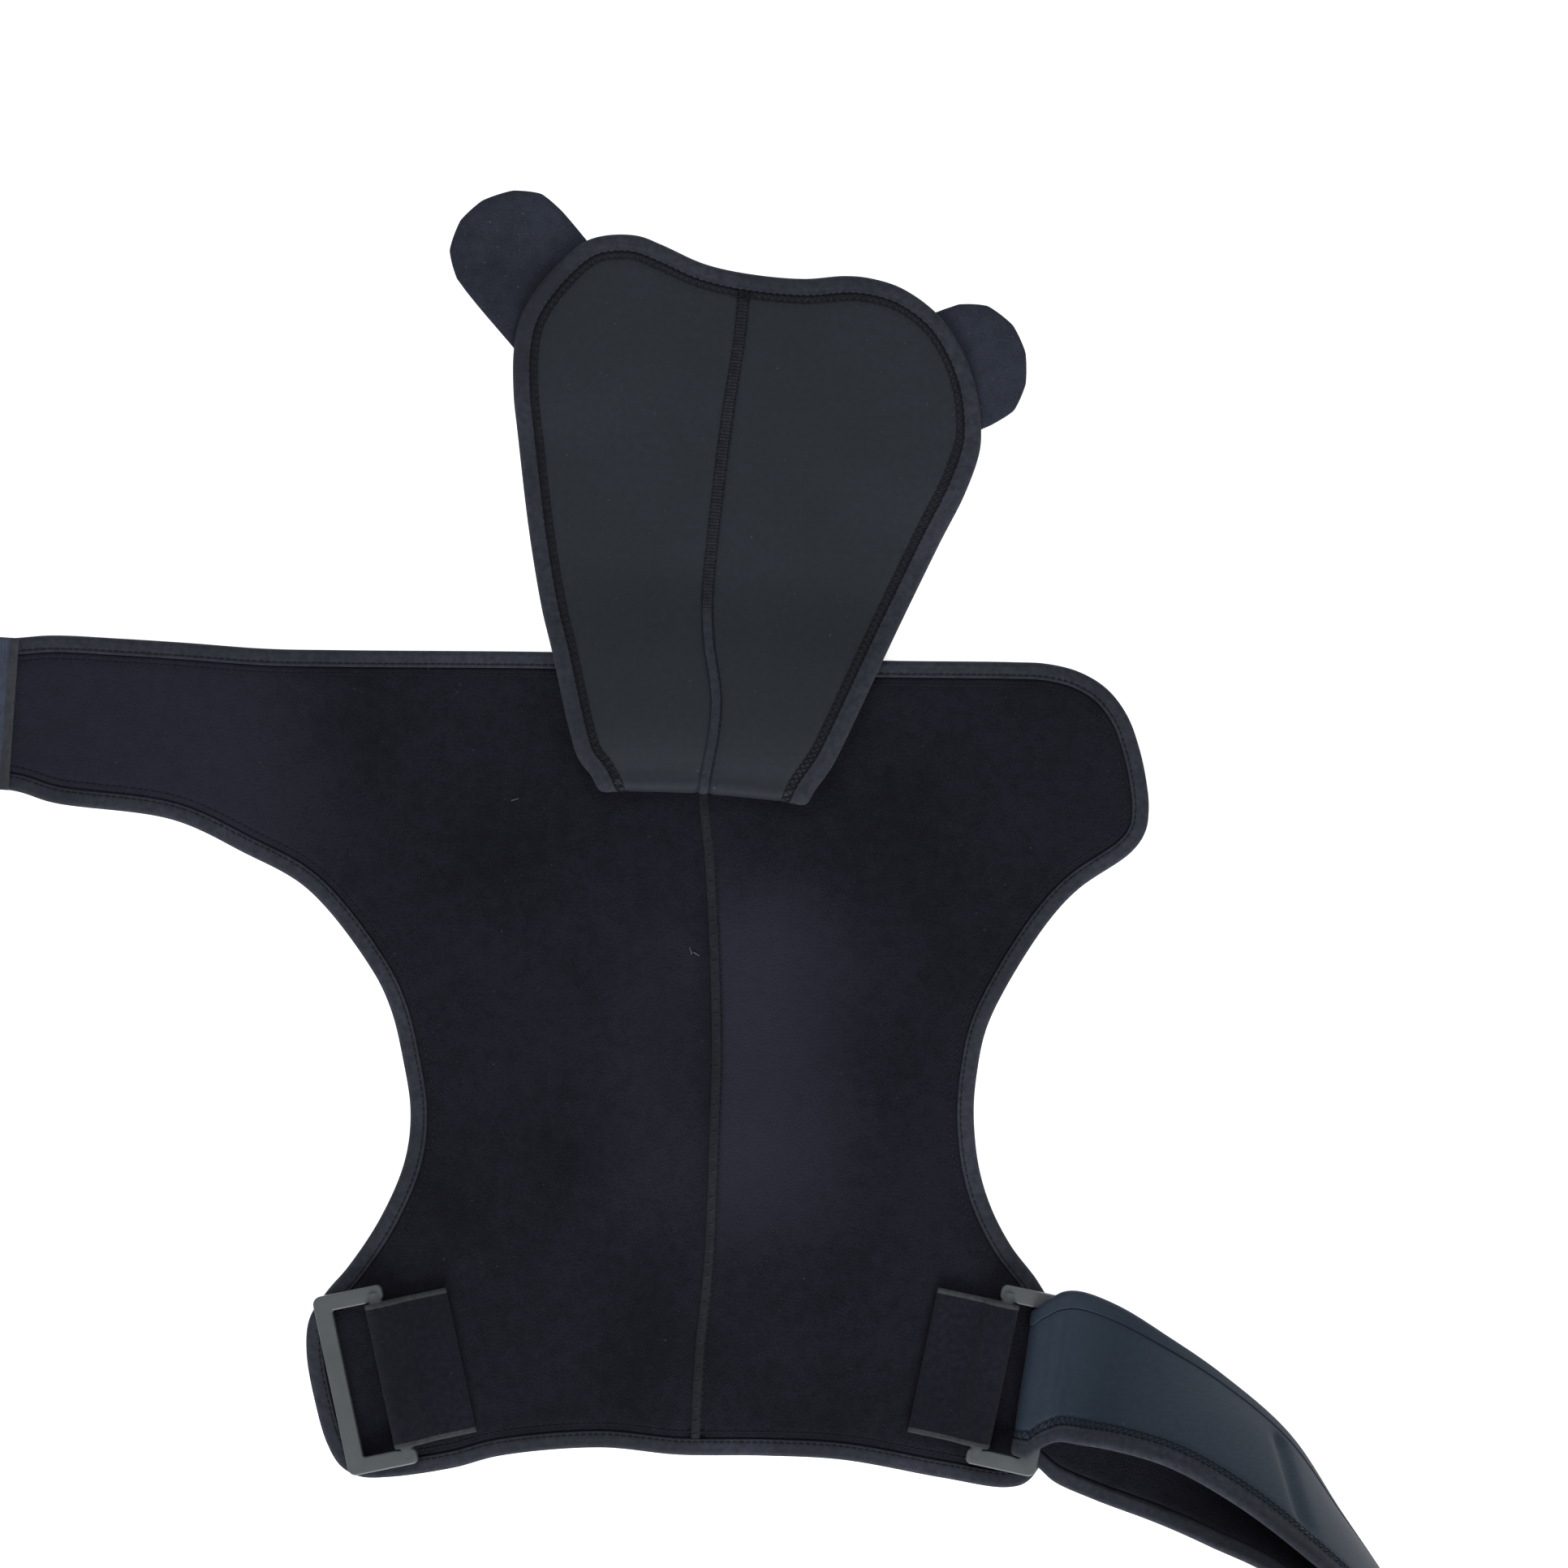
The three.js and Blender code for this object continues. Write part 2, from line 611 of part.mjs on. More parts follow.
function ringSolid() {
  const half = RING_LENGTH / 2;
  const inner = SLOT_LENGTH / 2;
  const back = -RING_BAR / 2;
  const outline = roundedRectangle(
    new THREE.Shape(), back, -half, RING_WIDTH + back, half, RING_CORNER,
  );
  const slotEnd = PIN_TO_BAR - RING_BAR / 2;
  outline.holes.push(
    roundedRectangle(new THREE.Path(), -back, -inner, slotEnd, inner, RING_CORNER / 3),
  );
  const bevel = RING_THICKNESS / 5;
  const frame = new THREE.ExtrudeGeometry(outline, {
    depth: RING_THICKNESS - 2 * bevel,
    bevelThickness: bevel,
    bevelSize: bevel,
    bevelOffset: -bevel,
    bevelSegments: 1,
    curveSegments: 3,
  }).translate(0, 0, bevel - RING_THICKNESS / 2);
  const opening = new THREE.BoxGeometry(2 * RING_BAR, SLOT_LENGTH, 2 * RING_THICKNESS);
  const pin = new THREE.CylinderGeometry(PIN_RADIUS, PIN_RADIUS, SLOT_LENGTH + RING_BAR, 12);
  return solidOf(frame).subtract(solidOf(opening)).add(solidOf(pin));
}

// The loop's section: two leaves sewn flat together, opened round the pin
const LEAVES_JOIN = 3.2; // loop radii from the pin's middle
function webbingSolid() {
  const [leaf, radius] = [WEBBING_THICKNESS, LOOP_RADIUS];
  const outer = radius + leaf;
  const join = radius * LEAVES_JOIN;
  const leave = Math.PI / 3;
  const section = new THREE.Shape();
  section.moveTo(WEBBING_LENGTH, 0);
  section.lineTo(WEBBING_LENGTH, 2 * leaf);
  section.lineTo(join + leaf, 2 * leaf);
  section.absarc(0, outer, outer, leave, Math.PI * 1.5, false);
  const hole = new THREE.Path();
  hole.absarc(0, outer, radius, leave, Math.PI * 1.5, false);
  hole.lineTo(join, leaf + GAP);
  section.holes.push(hole);
  const width = STRAP_WIDTH;
  const geometry = new THREE.ExtrudeGeometry(section, {
    depth: width,
    bevelEnabled: false,
    curveSegments: 7,
  });
  geometry.rotateX(Math.PI / 2).translate(0, width / 2, -outer).rotateZ(Math.PI);
  return solidOf(geometry);
}

function buildFittings(group) {
  const ring = ringSolid();
  const webbing = webbingSolid();
  for (const [word, side, tilt] of [["left", -1, FREE_TILT], ["right", 1, THREADED_TILT]]) {
    const fitting = new THREE.Group();
    fitting.position.set(side * PIN_ACROSS, PIN_UP, PIN_HEIGHT);
    fitting.rotation.z = side > 0 ? -RING_SPLAY : Math.PI + RING_SPLAY;
    const swing = new THREE.Group();
    swing.rotation.y = tilt;
    swing.add(meshOf("ring_" + word, ring, PLASTIC));
    fitting.add(swing, meshOf("webbing_" + word, webbing, WEBBING));
    group.add(fitting);
  }
}

// The strap's two layers right of the ring, as places of its north and south edges measured from the ring,
// in shares of the strap's width. The doubled strap turns, so it stands up more and more on its north edge.
const STRAP_LOWER = [
  { northX: 2.71, northY: -1.97, northZ: 0.03, southX: 2.47, southY: -2.21, southZ: 0.93 },
  { northX: 2.29, northY: -1.33, northZ: 0.03, southX: 2.12, southY: -1.69, southZ: 0.93 },
  { northX: 1.93, northY: -0.74, northZ: 0.035, southX: 1.74, southY: -1.29, southZ: 0.8 },
  { northX: 1.57, northY: -0.29, northZ: 0.035, southX: 1.28, southY: -1.09, southZ: 0.5 },
  { northX: 1.22, northY: -0.02, northZ: 0.035, southX: 0.91, southY: -0.955, southZ: 0.18 },
  { northX: 0.84, northY: 0.14, northZ: 0.04, southX: 0.52, southY: -0.82, southZ: 0.045 },
  { northX: 0.47, northY: 0.27, northZ: 0.09, southX: 0.24, southY: -0.69, southZ: 0.1 },
  { northX: 0.36, northY: 0.36, northZ: 0.098, southX: 0.15, southY: -0.61, southZ: 0.1 },
];
const STRAP_UPPER = [
  { northX: 0.3, northY: 0.612, northZ: 0.27, southX: 0.14, southY: -0.45, southZ: 0.285, bow: 0 },
  { northX: 0.42, northY: 0.61, northZ: 0.225, southX: 0.25, southY: -0.405, southZ: 0.3, bow: 0 },
  { northX: 0.69, northY: 0.5, northZ: 0.13, southX: 0.4, southY: -0.415, southZ: 0.4, bow: 0.02 },
  { northX: 1.03, northY: 0.28, northZ: 0.07, southX: 0.64, southY: -0.44, southZ: 0.59, bow: 0.05 },
  { northX: 1.39, northY: 0.02, northZ: 0.045, southX: 1.0, southY: -0.54, southZ: 0.7, bow: 0.07 },
  { northX: 1.83, northY: -0.38, northZ: 0.04, southX: 1.45, southY: -0.785, southZ: 0.79, bow: 0.08 },
  { northX: 2.16, northY: -0.9, northZ: 0.035, southX: 1.88, southY: -1.1, southZ: 0.9, bow: 0.09 },
  { northX: 2.42, northY: -1.3, northZ: 0.035, southX: 2.23, southY: -1.41, southZ: 0.93, bow: 0.08 },
  { northX: 2.88, northY: -2.02, northZ: 0.03, southX: 2.7, southY: -2.14, southZ: 0.93, bow: 0.06 },
];

// The strap's path round the ring's wide bar, by edge, from below the bar to above it, where its north edge
// spreads over the ring's arm
const CLEARS_ARM = Math.PI * 0.6;
function strapWrap() {
  const out = new THREE.Vector3(Math.cos(RING_SPLAY), -Math.sin(RING_SPLAY), 0);
  const north = new THREE.Vector3(Math.sin(RING_SPLAY), Math.cos(RING_SPLAY), 0);
  const pin = new THREE.Vector3(PIN_ACROSS, PIN_UP, PIN_HEIGHT);
  const tipped = (RING_BAR / 2) * Math.sin(-THREADED_TILT);
  const radius = (RING_THICKNESS + NEOPRENE) / 2 + PIN_CLEARANCE + tipped;
  const corner = Math.sqrt((radius - NEOPRENE / 2) ** 2 - (RING_THICKNESS / 2) ** 2);
  const reach = PIN_TO_BAR - RING_BAR / 2 + corner + GAP;
  const centre = pin.addScaledVector(out, reach);
  centre.z += PIN_TO_BAR * Math.sin(-THREADED_TILT);
  const STEPS = 8;
  return Array.from({ length: STEPS + 1 }, (_, i) => {
    const turn = (i / STEPS) * Math.PI;
    const over = STRAP_OVERHANG * smoothstep(turn, CLEARS_ARM, Math.PI);
    const edge = (across, skew) =>
      centre
        .clone()
        .addScaledVector(north, across)
        .addScaledVector(out, -radius * Math.sin(turn) - skew)
        .add(new THREE.Vector3(0, 0, -radius * Math.cos(turn)));
    return { north: edge(STRAP_WIDTH / 2 + over, STRAP_SKEW), south: edge(-STRAP_WIDTH / 2, 0), bow: 0 };
  });
}

function strapStations() {
  const mouth = new THREE.Vector3(PIN_ACROSS, PIN_UP, 0).add(
    new THREE.Vector3(Math.cos(RING_SPLAY), -Math.sin(RING_SPLAY), 0).multiplyScalar(PIN_TO_BAR / 2),
  );
  const place = (x, y, z) => new THREE.Vector3(x, y, z).multiplyScalar(STRAP_WIDTH).add(mouth);
  const lay = (row) => ({
    north: place(row.northX, row.northY, row.northZ),
    south: place(row.southX, row.southY, row.southZ),
    bow: row.bow ?? 0,
  });
  const wrap = strapWrap();
  const layer = (rows) => {
    const north = smooth(rows.map((row) => row.north), 2);
    const south = smooth(rows.map((row) => row.south), 2);
    const bow = smooth(rows.map((row) => new THREE.Vector3(row.bow, 0, 0)), 2);
    return north.map((p, i) => ({ north: p, south: south[i], bow: bow[i].x }));
  };
  const lower = layer([...STRAP_LOWER.map(lay), wrap[0]]);
  const upper = layer([wrap.at(-1), ...STRAP_UPPER.map(lay)]);
  return [...lower.slice(0, -1), ...wrap, ...upper.slice(1)];
}

// A section carried along the strap: x across it from the middle, y up from the pile face
function alongStrap(section) {
  const stations = strapStations();
  const middles = stations.map(({ north, south }) => north.clone().lerp(south, 0.5));
  const rings = stations.map(({ north, south, bow }, i) => {
    const before = middles[Math.max(i - 1, 0)];
    const after = middles[Math.min(i + 1, middles.length - 1)];
    const tangent = after.clone().sub(before).normalize();
    const across = north.clone().sub(south);
    const stretch = across.length() / STRAP_WIDTH;
    across.normalize();
    const face = tangent.cross(across).normalize();
    return section.map(({ x, y }) => {
      const bulge = bow * STRAP_WIDTH * (1 - ((2 * x) / STRAP_WIDTH) ** 2);
      return middles[i]
        .clone()
        .addScaledVector(across, x * stretch)
        .addScaledVector(face, y - NEOPRENE / 2 + bulge);
    });
  });
  return loft(rings, section);
}

function buildStrap(group) {
  const half = STRAP_WIDTH / 2;
  const [core, lip] = [half - CORE_INSET, half - LIP_INSET];
  const section = [
    [-lip, LIP_BOTTOM], [-core, LIP_BOTTOM], [-core, 0], [0, 0], [core, 0], [core, LIP_BOTTOM],
    [lip, LIP_BOTTOM], [lip, LIP_TOP], [core, LIP_TOP], [core, NEOPRENE], [0, NEOPRENE],
    [-core, NEOPRENE], [-core, LIP_TOP], [-lip, LIP_TOP],
  ].map(([x, y]) => new THREE.Vector2(x, y));
  group.add(meshOf("strap", alongStrap(section), JERSEY));
  for (const [name, side] of [["strap_binding_north", 1], ["strap_binding_south", -1]]) {
    const tape = tapeSection().map(({ x, y }) => new THREE.Vector2(side * (half - x), y));
    group.add(meshOf(name, alongStrap(tape), TAPE));
  }
}

// The elastic lies on the arm's end and comes down to the table past it
function buildElastic(group) {
  const [seat, thick] = [TAPE_TOP + GAP, ELASTIC_THICKNESS];
  const skew = (ELASTIC_WIDTH / 2) * Math.abs(Math.sin(ELASTIC_TURN));
  const edge = ELASTIC_LAP + skew + thick + GAP;
  const drop = edge + TAPE_TOP * ELASTIC_SLOPE;
  const hem = thick * ELASTIC_HEM_RISE;
  const profile = new THREE.Shape(
    [
      [0, seat], [edge, seat], [drop, 0], [ELASTIC_LENGTH, 0],
      [ELASTIC_LENGTH, thick], [drop + thick, thick], [edge + thick, seat + thick],
      [ELASTIC_HEM, seat + thick], [ELASTIC_HEM, seat + hem], [0, seat + hem],
    ].map(([x, y]) => new THREE.Vector2(-x, y)),
  );
  const geometry = new THREE.ExtrudeGeometry(profile, { depth: ELASTIC_WIDTH, bevelEnabled: false });
  geometry.rotateX(Math.PI / 2).translate(0, ELASTIC_WIDTH / 2, 0);
  const elastic = meshOf("elastic", solidOf(geometry), ELASTIC);
  elastic.position.set(-LEFT_ARM_REACH + ELASTIC_PAST, heightOf(ELASTIC_UP), 0);
  elastic.rotation.z = ELASTIC_TURN;
  group.add(elastic);
}

const brace = new THREE.Group();
buildBody(brace);
buildFlap(brace);
buildTabs(brace);
buildFittings(brace);
buildStrap(brace);
buildElastic(brace);

export default brace;
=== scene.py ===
# %% [markdown]
# # A shoulder brace, laid out flat
# The brace is cut from neoprene laminate: foam with smooth jersey on one face and looped pile on the other.
# It lies pile side up, with its neck flap folded back so that the flap shows its jersey.
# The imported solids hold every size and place. This lesson dresses them with fine cloth, tape, thread and
# plastic, and never moves them.

# %% Load the solids
import math
import bmesh
import bpy
import numpy as np
from mathutils import Matrix, Vector
from mathutils.geometry import delaunay_2d_cdt


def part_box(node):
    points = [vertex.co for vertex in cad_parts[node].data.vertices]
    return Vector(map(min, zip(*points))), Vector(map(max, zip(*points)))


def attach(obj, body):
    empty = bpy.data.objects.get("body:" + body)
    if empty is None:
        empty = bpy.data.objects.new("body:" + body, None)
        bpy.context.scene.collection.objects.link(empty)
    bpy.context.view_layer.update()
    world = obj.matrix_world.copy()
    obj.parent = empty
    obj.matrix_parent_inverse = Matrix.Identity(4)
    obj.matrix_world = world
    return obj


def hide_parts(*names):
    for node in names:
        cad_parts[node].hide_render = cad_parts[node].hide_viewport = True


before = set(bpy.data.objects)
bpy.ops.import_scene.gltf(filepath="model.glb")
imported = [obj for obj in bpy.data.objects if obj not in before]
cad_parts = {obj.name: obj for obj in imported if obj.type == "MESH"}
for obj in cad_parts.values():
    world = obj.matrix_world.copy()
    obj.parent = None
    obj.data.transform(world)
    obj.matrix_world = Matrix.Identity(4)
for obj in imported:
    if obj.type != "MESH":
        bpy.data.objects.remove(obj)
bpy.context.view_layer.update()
MM = 0.001

# %% [markdown]
# ## The view and the light
# The photograph was taken from straight above, so the camera hangs over the middle of the view.
# A long lens from 3 metres keeps the edges of the sheet from leaning. A large soft lamp stands low on the
# hem's side and lights the folds that face it, a second one fills the shadows, and a white surround does
# the rest. Black cloth on white also asks for the standard colour curve.

# %% Camera and lamps
VIEW_CENTRE = (36.2 * MM, 129.3 * MM)
VIEW_WIDTH = 618.2 * MM
CAMERA_HEIGHT = 3.0
LAMP_SIZE = 0.9


def add_object(name, data):
    """A new object in the scene."""
    made = bpy.data.objects.new(name, data)
    bpy.context.scene.collection.objects.link(made)
    return made


def add_lamp(name, place, power):
    """A square soft lamp that points at the middle of the view."""
    data = bpy.data.lights.new(name, "AREA")
    data.size = LAMP_SIZE
    data.energy = power
    lamp = add_object(name, data)
    lamp.location = place
    towards = Vector((*VIEW_CENTRE, 0)) - Vector(place)
    lamp.rotation_euler = towards.to_track_quat("-Z", "Y").to_euler()


camera_data = bpy.data.cameras.new("camera")
camera_data.lens = camera_data.sensor_width * CAMERA_HEIGHT / VIEW_WIDTH
camera = add_object("camera", camera_data)
camera.location = (*VIEW_CENTRE, CAMERA_HEIGHT)
bpy.context.scene.camera = camera
bpy.context.scene.view_settings.view_transform = "Standard"
add_lamp("key", (0.1, -2.0, 0.95), 50)
add_lamp("fill", (-0.2, 1.5, 1.7), 9)
world = bpy.data.worlds.new("surround")
world.use_nodes = True
surround = world.node_tree.nodes["Background"]
surround.inputs["Color"].default_value = (1, 1, 1, 1)
surround.inputs["Strength"].default_value = 0.58
bpy.context.scene.world = world
print("lens", round(camera_data.lens, 1), "mm")

# %% [markdown]
# ## Building shaders from small parts
# Cloth finishes share a few effects: looped pile, knitted loops and blotches of tone.
# Each effect is one node group with named sockets, placed in a material with values of its own.
# A helper adds a node and sets its sockets by name, so that each material reads like a recipe.

# %% Helpers for nodes
def set_sockets(tree, node, sockets):
    """Values or links for a node's sockets, by name."""
    for key, value in sockets.items():
        if isinstance(value, bpy.types.NodeSocket):
            tree.links.new(value, node.inputs[key])
        else:
            node.inputs[key].default_value = value


def add_node(tree, kind, sockets=(), **settings):
    """A node with its settings and the values or links of its sockets."""
    node = tree.nodes.new("ShaderNode" + kind)
    for key, value in settings.items():
        setattr(node, key, value)
    set_sockets(tree, node, dict(sockets))
    return node


def calculate(tree, operation, first, second=0.0, clamp=False):
    """The output of a Math node."""
    return add_node(tree, "Math", {0: first, 1: second}, operation=operation, use_clamp=clamp).outputs[0]


FACTOR, FIRST_COLOUR, SECOND_COLOUR, MIXED_COLOUR = 0, 6, 7, 2


def mix_tones(tree, share, first, second):
    """The colour between two tones, each a link or three numbers."""
    first, second = [(*tone, 1) if isinstance(tone, tuple) else tone for tone in (first, second)]
    sockets = {FACTOR: share, FIRST_COLOUR: first, SECOND_COLOUR: second}
    return add_node(tree, "Mix", sockets, data_type="RGBA").outputs[MIXED_COLOUR]


def start_group(name, inputs, outputs):
    """A shader node group with float inputs and outputs, and its two end nodes."""
    group = bpy.data.node_groups.new(name, "ShaderNodeTree")
    for label, value in inputs.items():
        socket = group.interface.new_socket(label, in_out="INPUT", socket_type="NodeSocketFloat")
        socket.default_value = value
    for label in outputs:
        group.interface.new_socket(label, in_out="OUTPUT", socket_type="NodeSocketFloat")
    return group, group.nodes.new("NodeGroupInput"), group.nodes.new("NodeGroupOutput")


# %% The shared effects
def make_pile_group():
    """Loops of yarn: small round tufts with a fuzz over them, and painted shade in the hollows between them.
    """
    group, given, made = start_group("pile", {"Grain": 1100.0}, ["Height", "Shade"])
    place = add_node(group, "TexCoord").outputs["Object"]
    tufts = add_node(group, "TexVoronoi", {"Vector": place, "Scale": given.outputs["Grain"]})
    finer = calculate(group, "MULTIPLY", given.outputs["Grain"], 2.6)
    fuzz = add_node(group, "TexNoise", {"Vector": place, "Scale": finer, "Detail": 3.0})
    brushed = add_node(group, "TexNoise", {"Vector": place, "Scale": 190.0, "Detail": 4.0})
    tops = calculate(group, "SUBTRACT", 1.0, tufts.outputs["Distance"])
    height = calculate(group, "ADD", calculate(group, "MULTIPLY", tops, 0.6), fuzz.outputs["Fac"])
    shade = calculate(group, "ADD", brushed.outputs["Fac"], 0.3)
    group.links.new(height, made.inputs["Height"])
    # Painted shade: the tone follows the height, so the hollows between the tufts are painted darker.
    group.links.new(calculate(group, "MULTIPLY", height, shade), made.inputs["Shade"])
    return group


def make_knit_group():
    """Fine columns and rows of knitted loops, slightly uneven."""
    group, given, made = start_group("knit", {"Grain": 900.0}, ["Height", "Shade"])
    place = add_node(group, "TexCoord").outputs["Object"]
    uneven = add_node(group, "TexNoise", {"Vector": place, "Scale": 420.0, "Detail": 4.0})
    bands = [
        add_node(
            group, "TexWave", {"Vector": place, "Scale": given.outputs["Grain"], "Distortion": 1.2},
            bands_direction=axis,
        ).outputs["Fac"]
        for axis in "XY"
    ]
    loops = calculate(group, "MULTIPLY", *bands)
    soft = calculate(group, "MULTIPLY", uneven.outputs["Fac"], 0.8)
    group.links.new(calculate(group, "ADD", loops, soft), made.inputs["Height"])
    group.links.new(uneven.outputs["Fac"], made.inputs["Shade"])
    return group


def make_blotch_group():
    """Large soft patches of tone, as dye and handling leave them, and a few pale flecks of lint."""
    group, given, made = start_group("blotch", {"Size": 14.0, "Clean": 0.7}, ["Tone", "Fleck"])
    place = add_node(group, "TexCoord").outputs["Object"]
    patches = add_node(group, "TexNoise", {"Vector": place, "Scale": given.outputs["Size"], "Detail": 2.0})
    flecks = add_node(group, "TexNoise", {"Vector": place, "Scale": 620.0, "Detail": 1.0})
    above = calculate(group, "SUBTRACT", flecks.outputs["Fac"], given.outputs["Clean"])
    group.links.new(patches.outputs["Fac"], made.inputs["Tone"])
    group.links.new(calculate(group, "MULTIPLY", above, 9.0, clamp=True), made.inputs["Fleck"])
    return group


EFFECTS = {"pile": make_pile_group(), "knit": make_knit_group(), "blotch": make_blotch_group()}
print("effects:", sorted(EFFECTS))

# %% [markdown]
# ## The finishes
# All the cloth is close to black, and what tells one piece from the next is its tone and how it scatters
# light. Pile swallows it, jersey has a soft satin sheen, and the tape and the felt lie between them.
# Each finish mixes two tones by the effects' masks, and bumps the surface by their heights. The pile's mask
# follows its height, which paints shade between its tufts.
# Sheen stands for the loose fibres that catch light at a slant.

# %% Cloth finishes
LINT = (0.05, 0.055, 0.06)
SHEEN = 0.03


def start_finish(name):
    """A new material, its node tree and its surface node."""
    finish = bpy.data.materials.new(name)
    finish.use_nodes = True
    return finish, finish.node_tree, finish.node_tree.nodes["Principled BSDF"]


def make_cloth(name, dark, pale, effect, grain, bump, gloss=0.08, rough=0.9, clean=0.76, painted_sheen=0.0):
    """A cloth from two tones, an effect and blotches, and a painted sheen that paints it paler where its
    brushed nap catches the light.
    """
    finish, tree, surface = start_finish(name)
    texture = add_node(tree, "Group", {"Grain": grain}, node_tree=EFFECTS[effect]).outputs
    blotch = add_node(tree, "Group", {"Clean": clean}, node_tree=EFFECTS["blotch"]).outputs
    share = calculate(tree, "MULTIPLY", texture["Shade"], blotch["Tone"])
    spread = add_node(tree, "MapRange", {"Value": share, "From Min": 0.15, "From Max": 0.42})
    tone = mix_tones(tree, spread.outputs[0], dark, pale)
    # Painted sheen: a per-point attribute paints the pile paler where its brushed nap catches the light.
    if painted_sheen:
        brushed = add_node(tree, "Attribute", attribute_name="painted_sheen").outputs["Fac"]
        painted_sheen_tone = tuple(value * (1 + painted_sheen) for value in pale)
        tone = mix_tones(tree, calculate(tree, "MULTIPLY", brushed, 0.5), tone, painted_sheen_tone)
    raised = add_node(tree, "Bump", {"Height": texture["Height"], "Distance": bump * MM, "Strength": 0.8})
    set_sockets(tree, surface, {
        "Base Color": mix_tones(tree, blotch["Fleck"], tone, LINT),
        "Normal": raised.outputs["Normal"],
        "Roughness": rough, "Specular IOR Level": gloss,
        "Sheen Weight": SHEEN, "Sheen Roughness": 0.5,
    })
    return finish


SATIN = {"gloss": 0.29, "rough": 0.62}
SMOOTH = {"gloss": 0.12}
WAXED = {"gloss": 0.15}
# The dark and the pale tone, the effect with its grain, the bumps in millimetres and what else is special.
CLOTHS = {
    # The loop pile's last value is its painted sheen: how much paler its brushed nap is painted.
    "loop_pile": ((0.0048, 0.0051, 0.0088), (0.0108, 0.0114, 0.0178), "pile", 1100, 0.5, {"painted_sheen": 1.8}),
    "jersey": ((0.0053, 0.0088, 0.0150), (0.0090, 0.0146, 0.0228), "knit", 900, 0.1, SATIN),
    "strap_jersey": ((0.0068, 0.0162, 0.0305), (0.0093, 0.0214, 0.0395), "knit", 900, 0.1, SATIN),
    "tape": ((0.0206, 0.0233, 0.0312), (0.0366, 0.0413, 0.0552), "knit", 1400, 0.1, SMOOTH),
    "felt": ((0.0163, 0.0191, 0.0285), (0.0297, 0.0347, 0.0500), "pile", 1500, 0.35, {"clean": 0.68}),
    "webbing": ((0.0050, 0.0055, 0.0100), (0.0112, 0.0122, 0.0205), "knit", 700, 0.3, SMOOTH),
    "selvedge": ((0.035, 0.037, 0.042), (0.060, 0.062, 0.070), "knit", 1400, 0.2, SMOOTH),
    "ribbing": ((0.0410, 0.0480, 0.0740), (0.0655, 0.0765, 0.1120), "knit", 1400, 0.1, SMOOTH),
    "thread": ((0.0070, 0.0074, 0.0105), (0.0150, 0.0160, 0.0210), "knit", 2500, 0.05, SMOOTH),
    "pale_thread": ((0.010, 0.0125, 0.0175), (0.0185, 0.0225, 0.0300), "knit", 2500, 0.05, {}),
    "seam_yarn": ((0.0100, 0.0112, 0.0150), (0.0185, 0.0205, 0.0265), "knit", 2500, 0.05, WAXED),
    "lint": ((0.10, 0.12, 0.12), (0.20, 0.22, 0.22), "knit", 2500, 0.05, WAXED),
}
FINISHES = {name: make_cloth(name, *row[:5], **row[5]) for name, row in CLOTHS.items()}


# %% Moulded plastic
def make_plastic(name, dark, pale):
    """Satin grey plastic: a faint grain, and paler, duller patches as handling leaves them."""
    finish, tree, surface = start_finish(name)
    place = add_node(tree, "TexCoord").outputs["Object"]
    grain = add_node(tree, "TexNoise", {"Vector": place, "Scale": 1800.0, "Detail": 3.0}).outputs["Fac"]
    patches = add_node(tree, "TexNoise", {"Vector": place, "Scale": 90.0, "Detail": 3.0}).outputs["Fac"]
    rough = add_node(tree, "MapRange", {"Value": patches, "To Min": 0.3, "To Max": 0.5})
    raised = add_node(tree, "Bump", {"Height": grain, "Distance": 0.02 * MM, "Strength": 0.5})
    set_sockets(tree, surface, {
        "Base Color": mix_tones(tree, patches, dark, pale),
        "Normal": raised.outputs["Normal"],
        "Roughness": rough.outputs[0], "Specular IOR Level": 0.4,
    })
    return finish


FINISHES["plastic"] = make_plastic("moulded_plastic", (0.054, 0.061, 0.066), (0.078, 0.088, 0.094))
print("finishes:", len(FINISHES))

# %% [markdown]
# ## The floor
# The floor is a light table: it glows, so that it stays plain white right up to the cloth.

# %% The floor
FLOOR_HALF = 4.0
FLOOR_DROP = 0.2 * MM
floor_finish, floor_tree, paper = start_finish("floor")
set_sockets(floor_tree, paper, {
    "Base Color": (0.92, 0.92, 0.92, 1), "Roughness": 1.0, "Specular IOR Level": 0.0,
    "Emission Color": (1, 1, 1, 1), "Emission Strength": 0.7,
})
corners = [(x * FLOOR_HALF, y * FLOOR_HALF, -FLOOR_DROP) for x, y in ((-1, -1), (1, -1), (1, 1), (-1, 1))]
floor_mesh = bpy.data.meshes.new("floor")
floor_mesh.from_pydata(corners, [], [(0, 1, 2, 3)])
floor_mesh.materials.append(floor_finish)
floor = add_object("floor", floor_mesh)

# %% [markdown]
# ## From tables to curves
# The solids' outlines are short tables of shares, and the cloth repeats them, so both follow one shape.
# A centripetal curve goes through the rows, and is then walked in equal steps, so mesh rows come out even.

# %% Curves
PER_ROW = 12


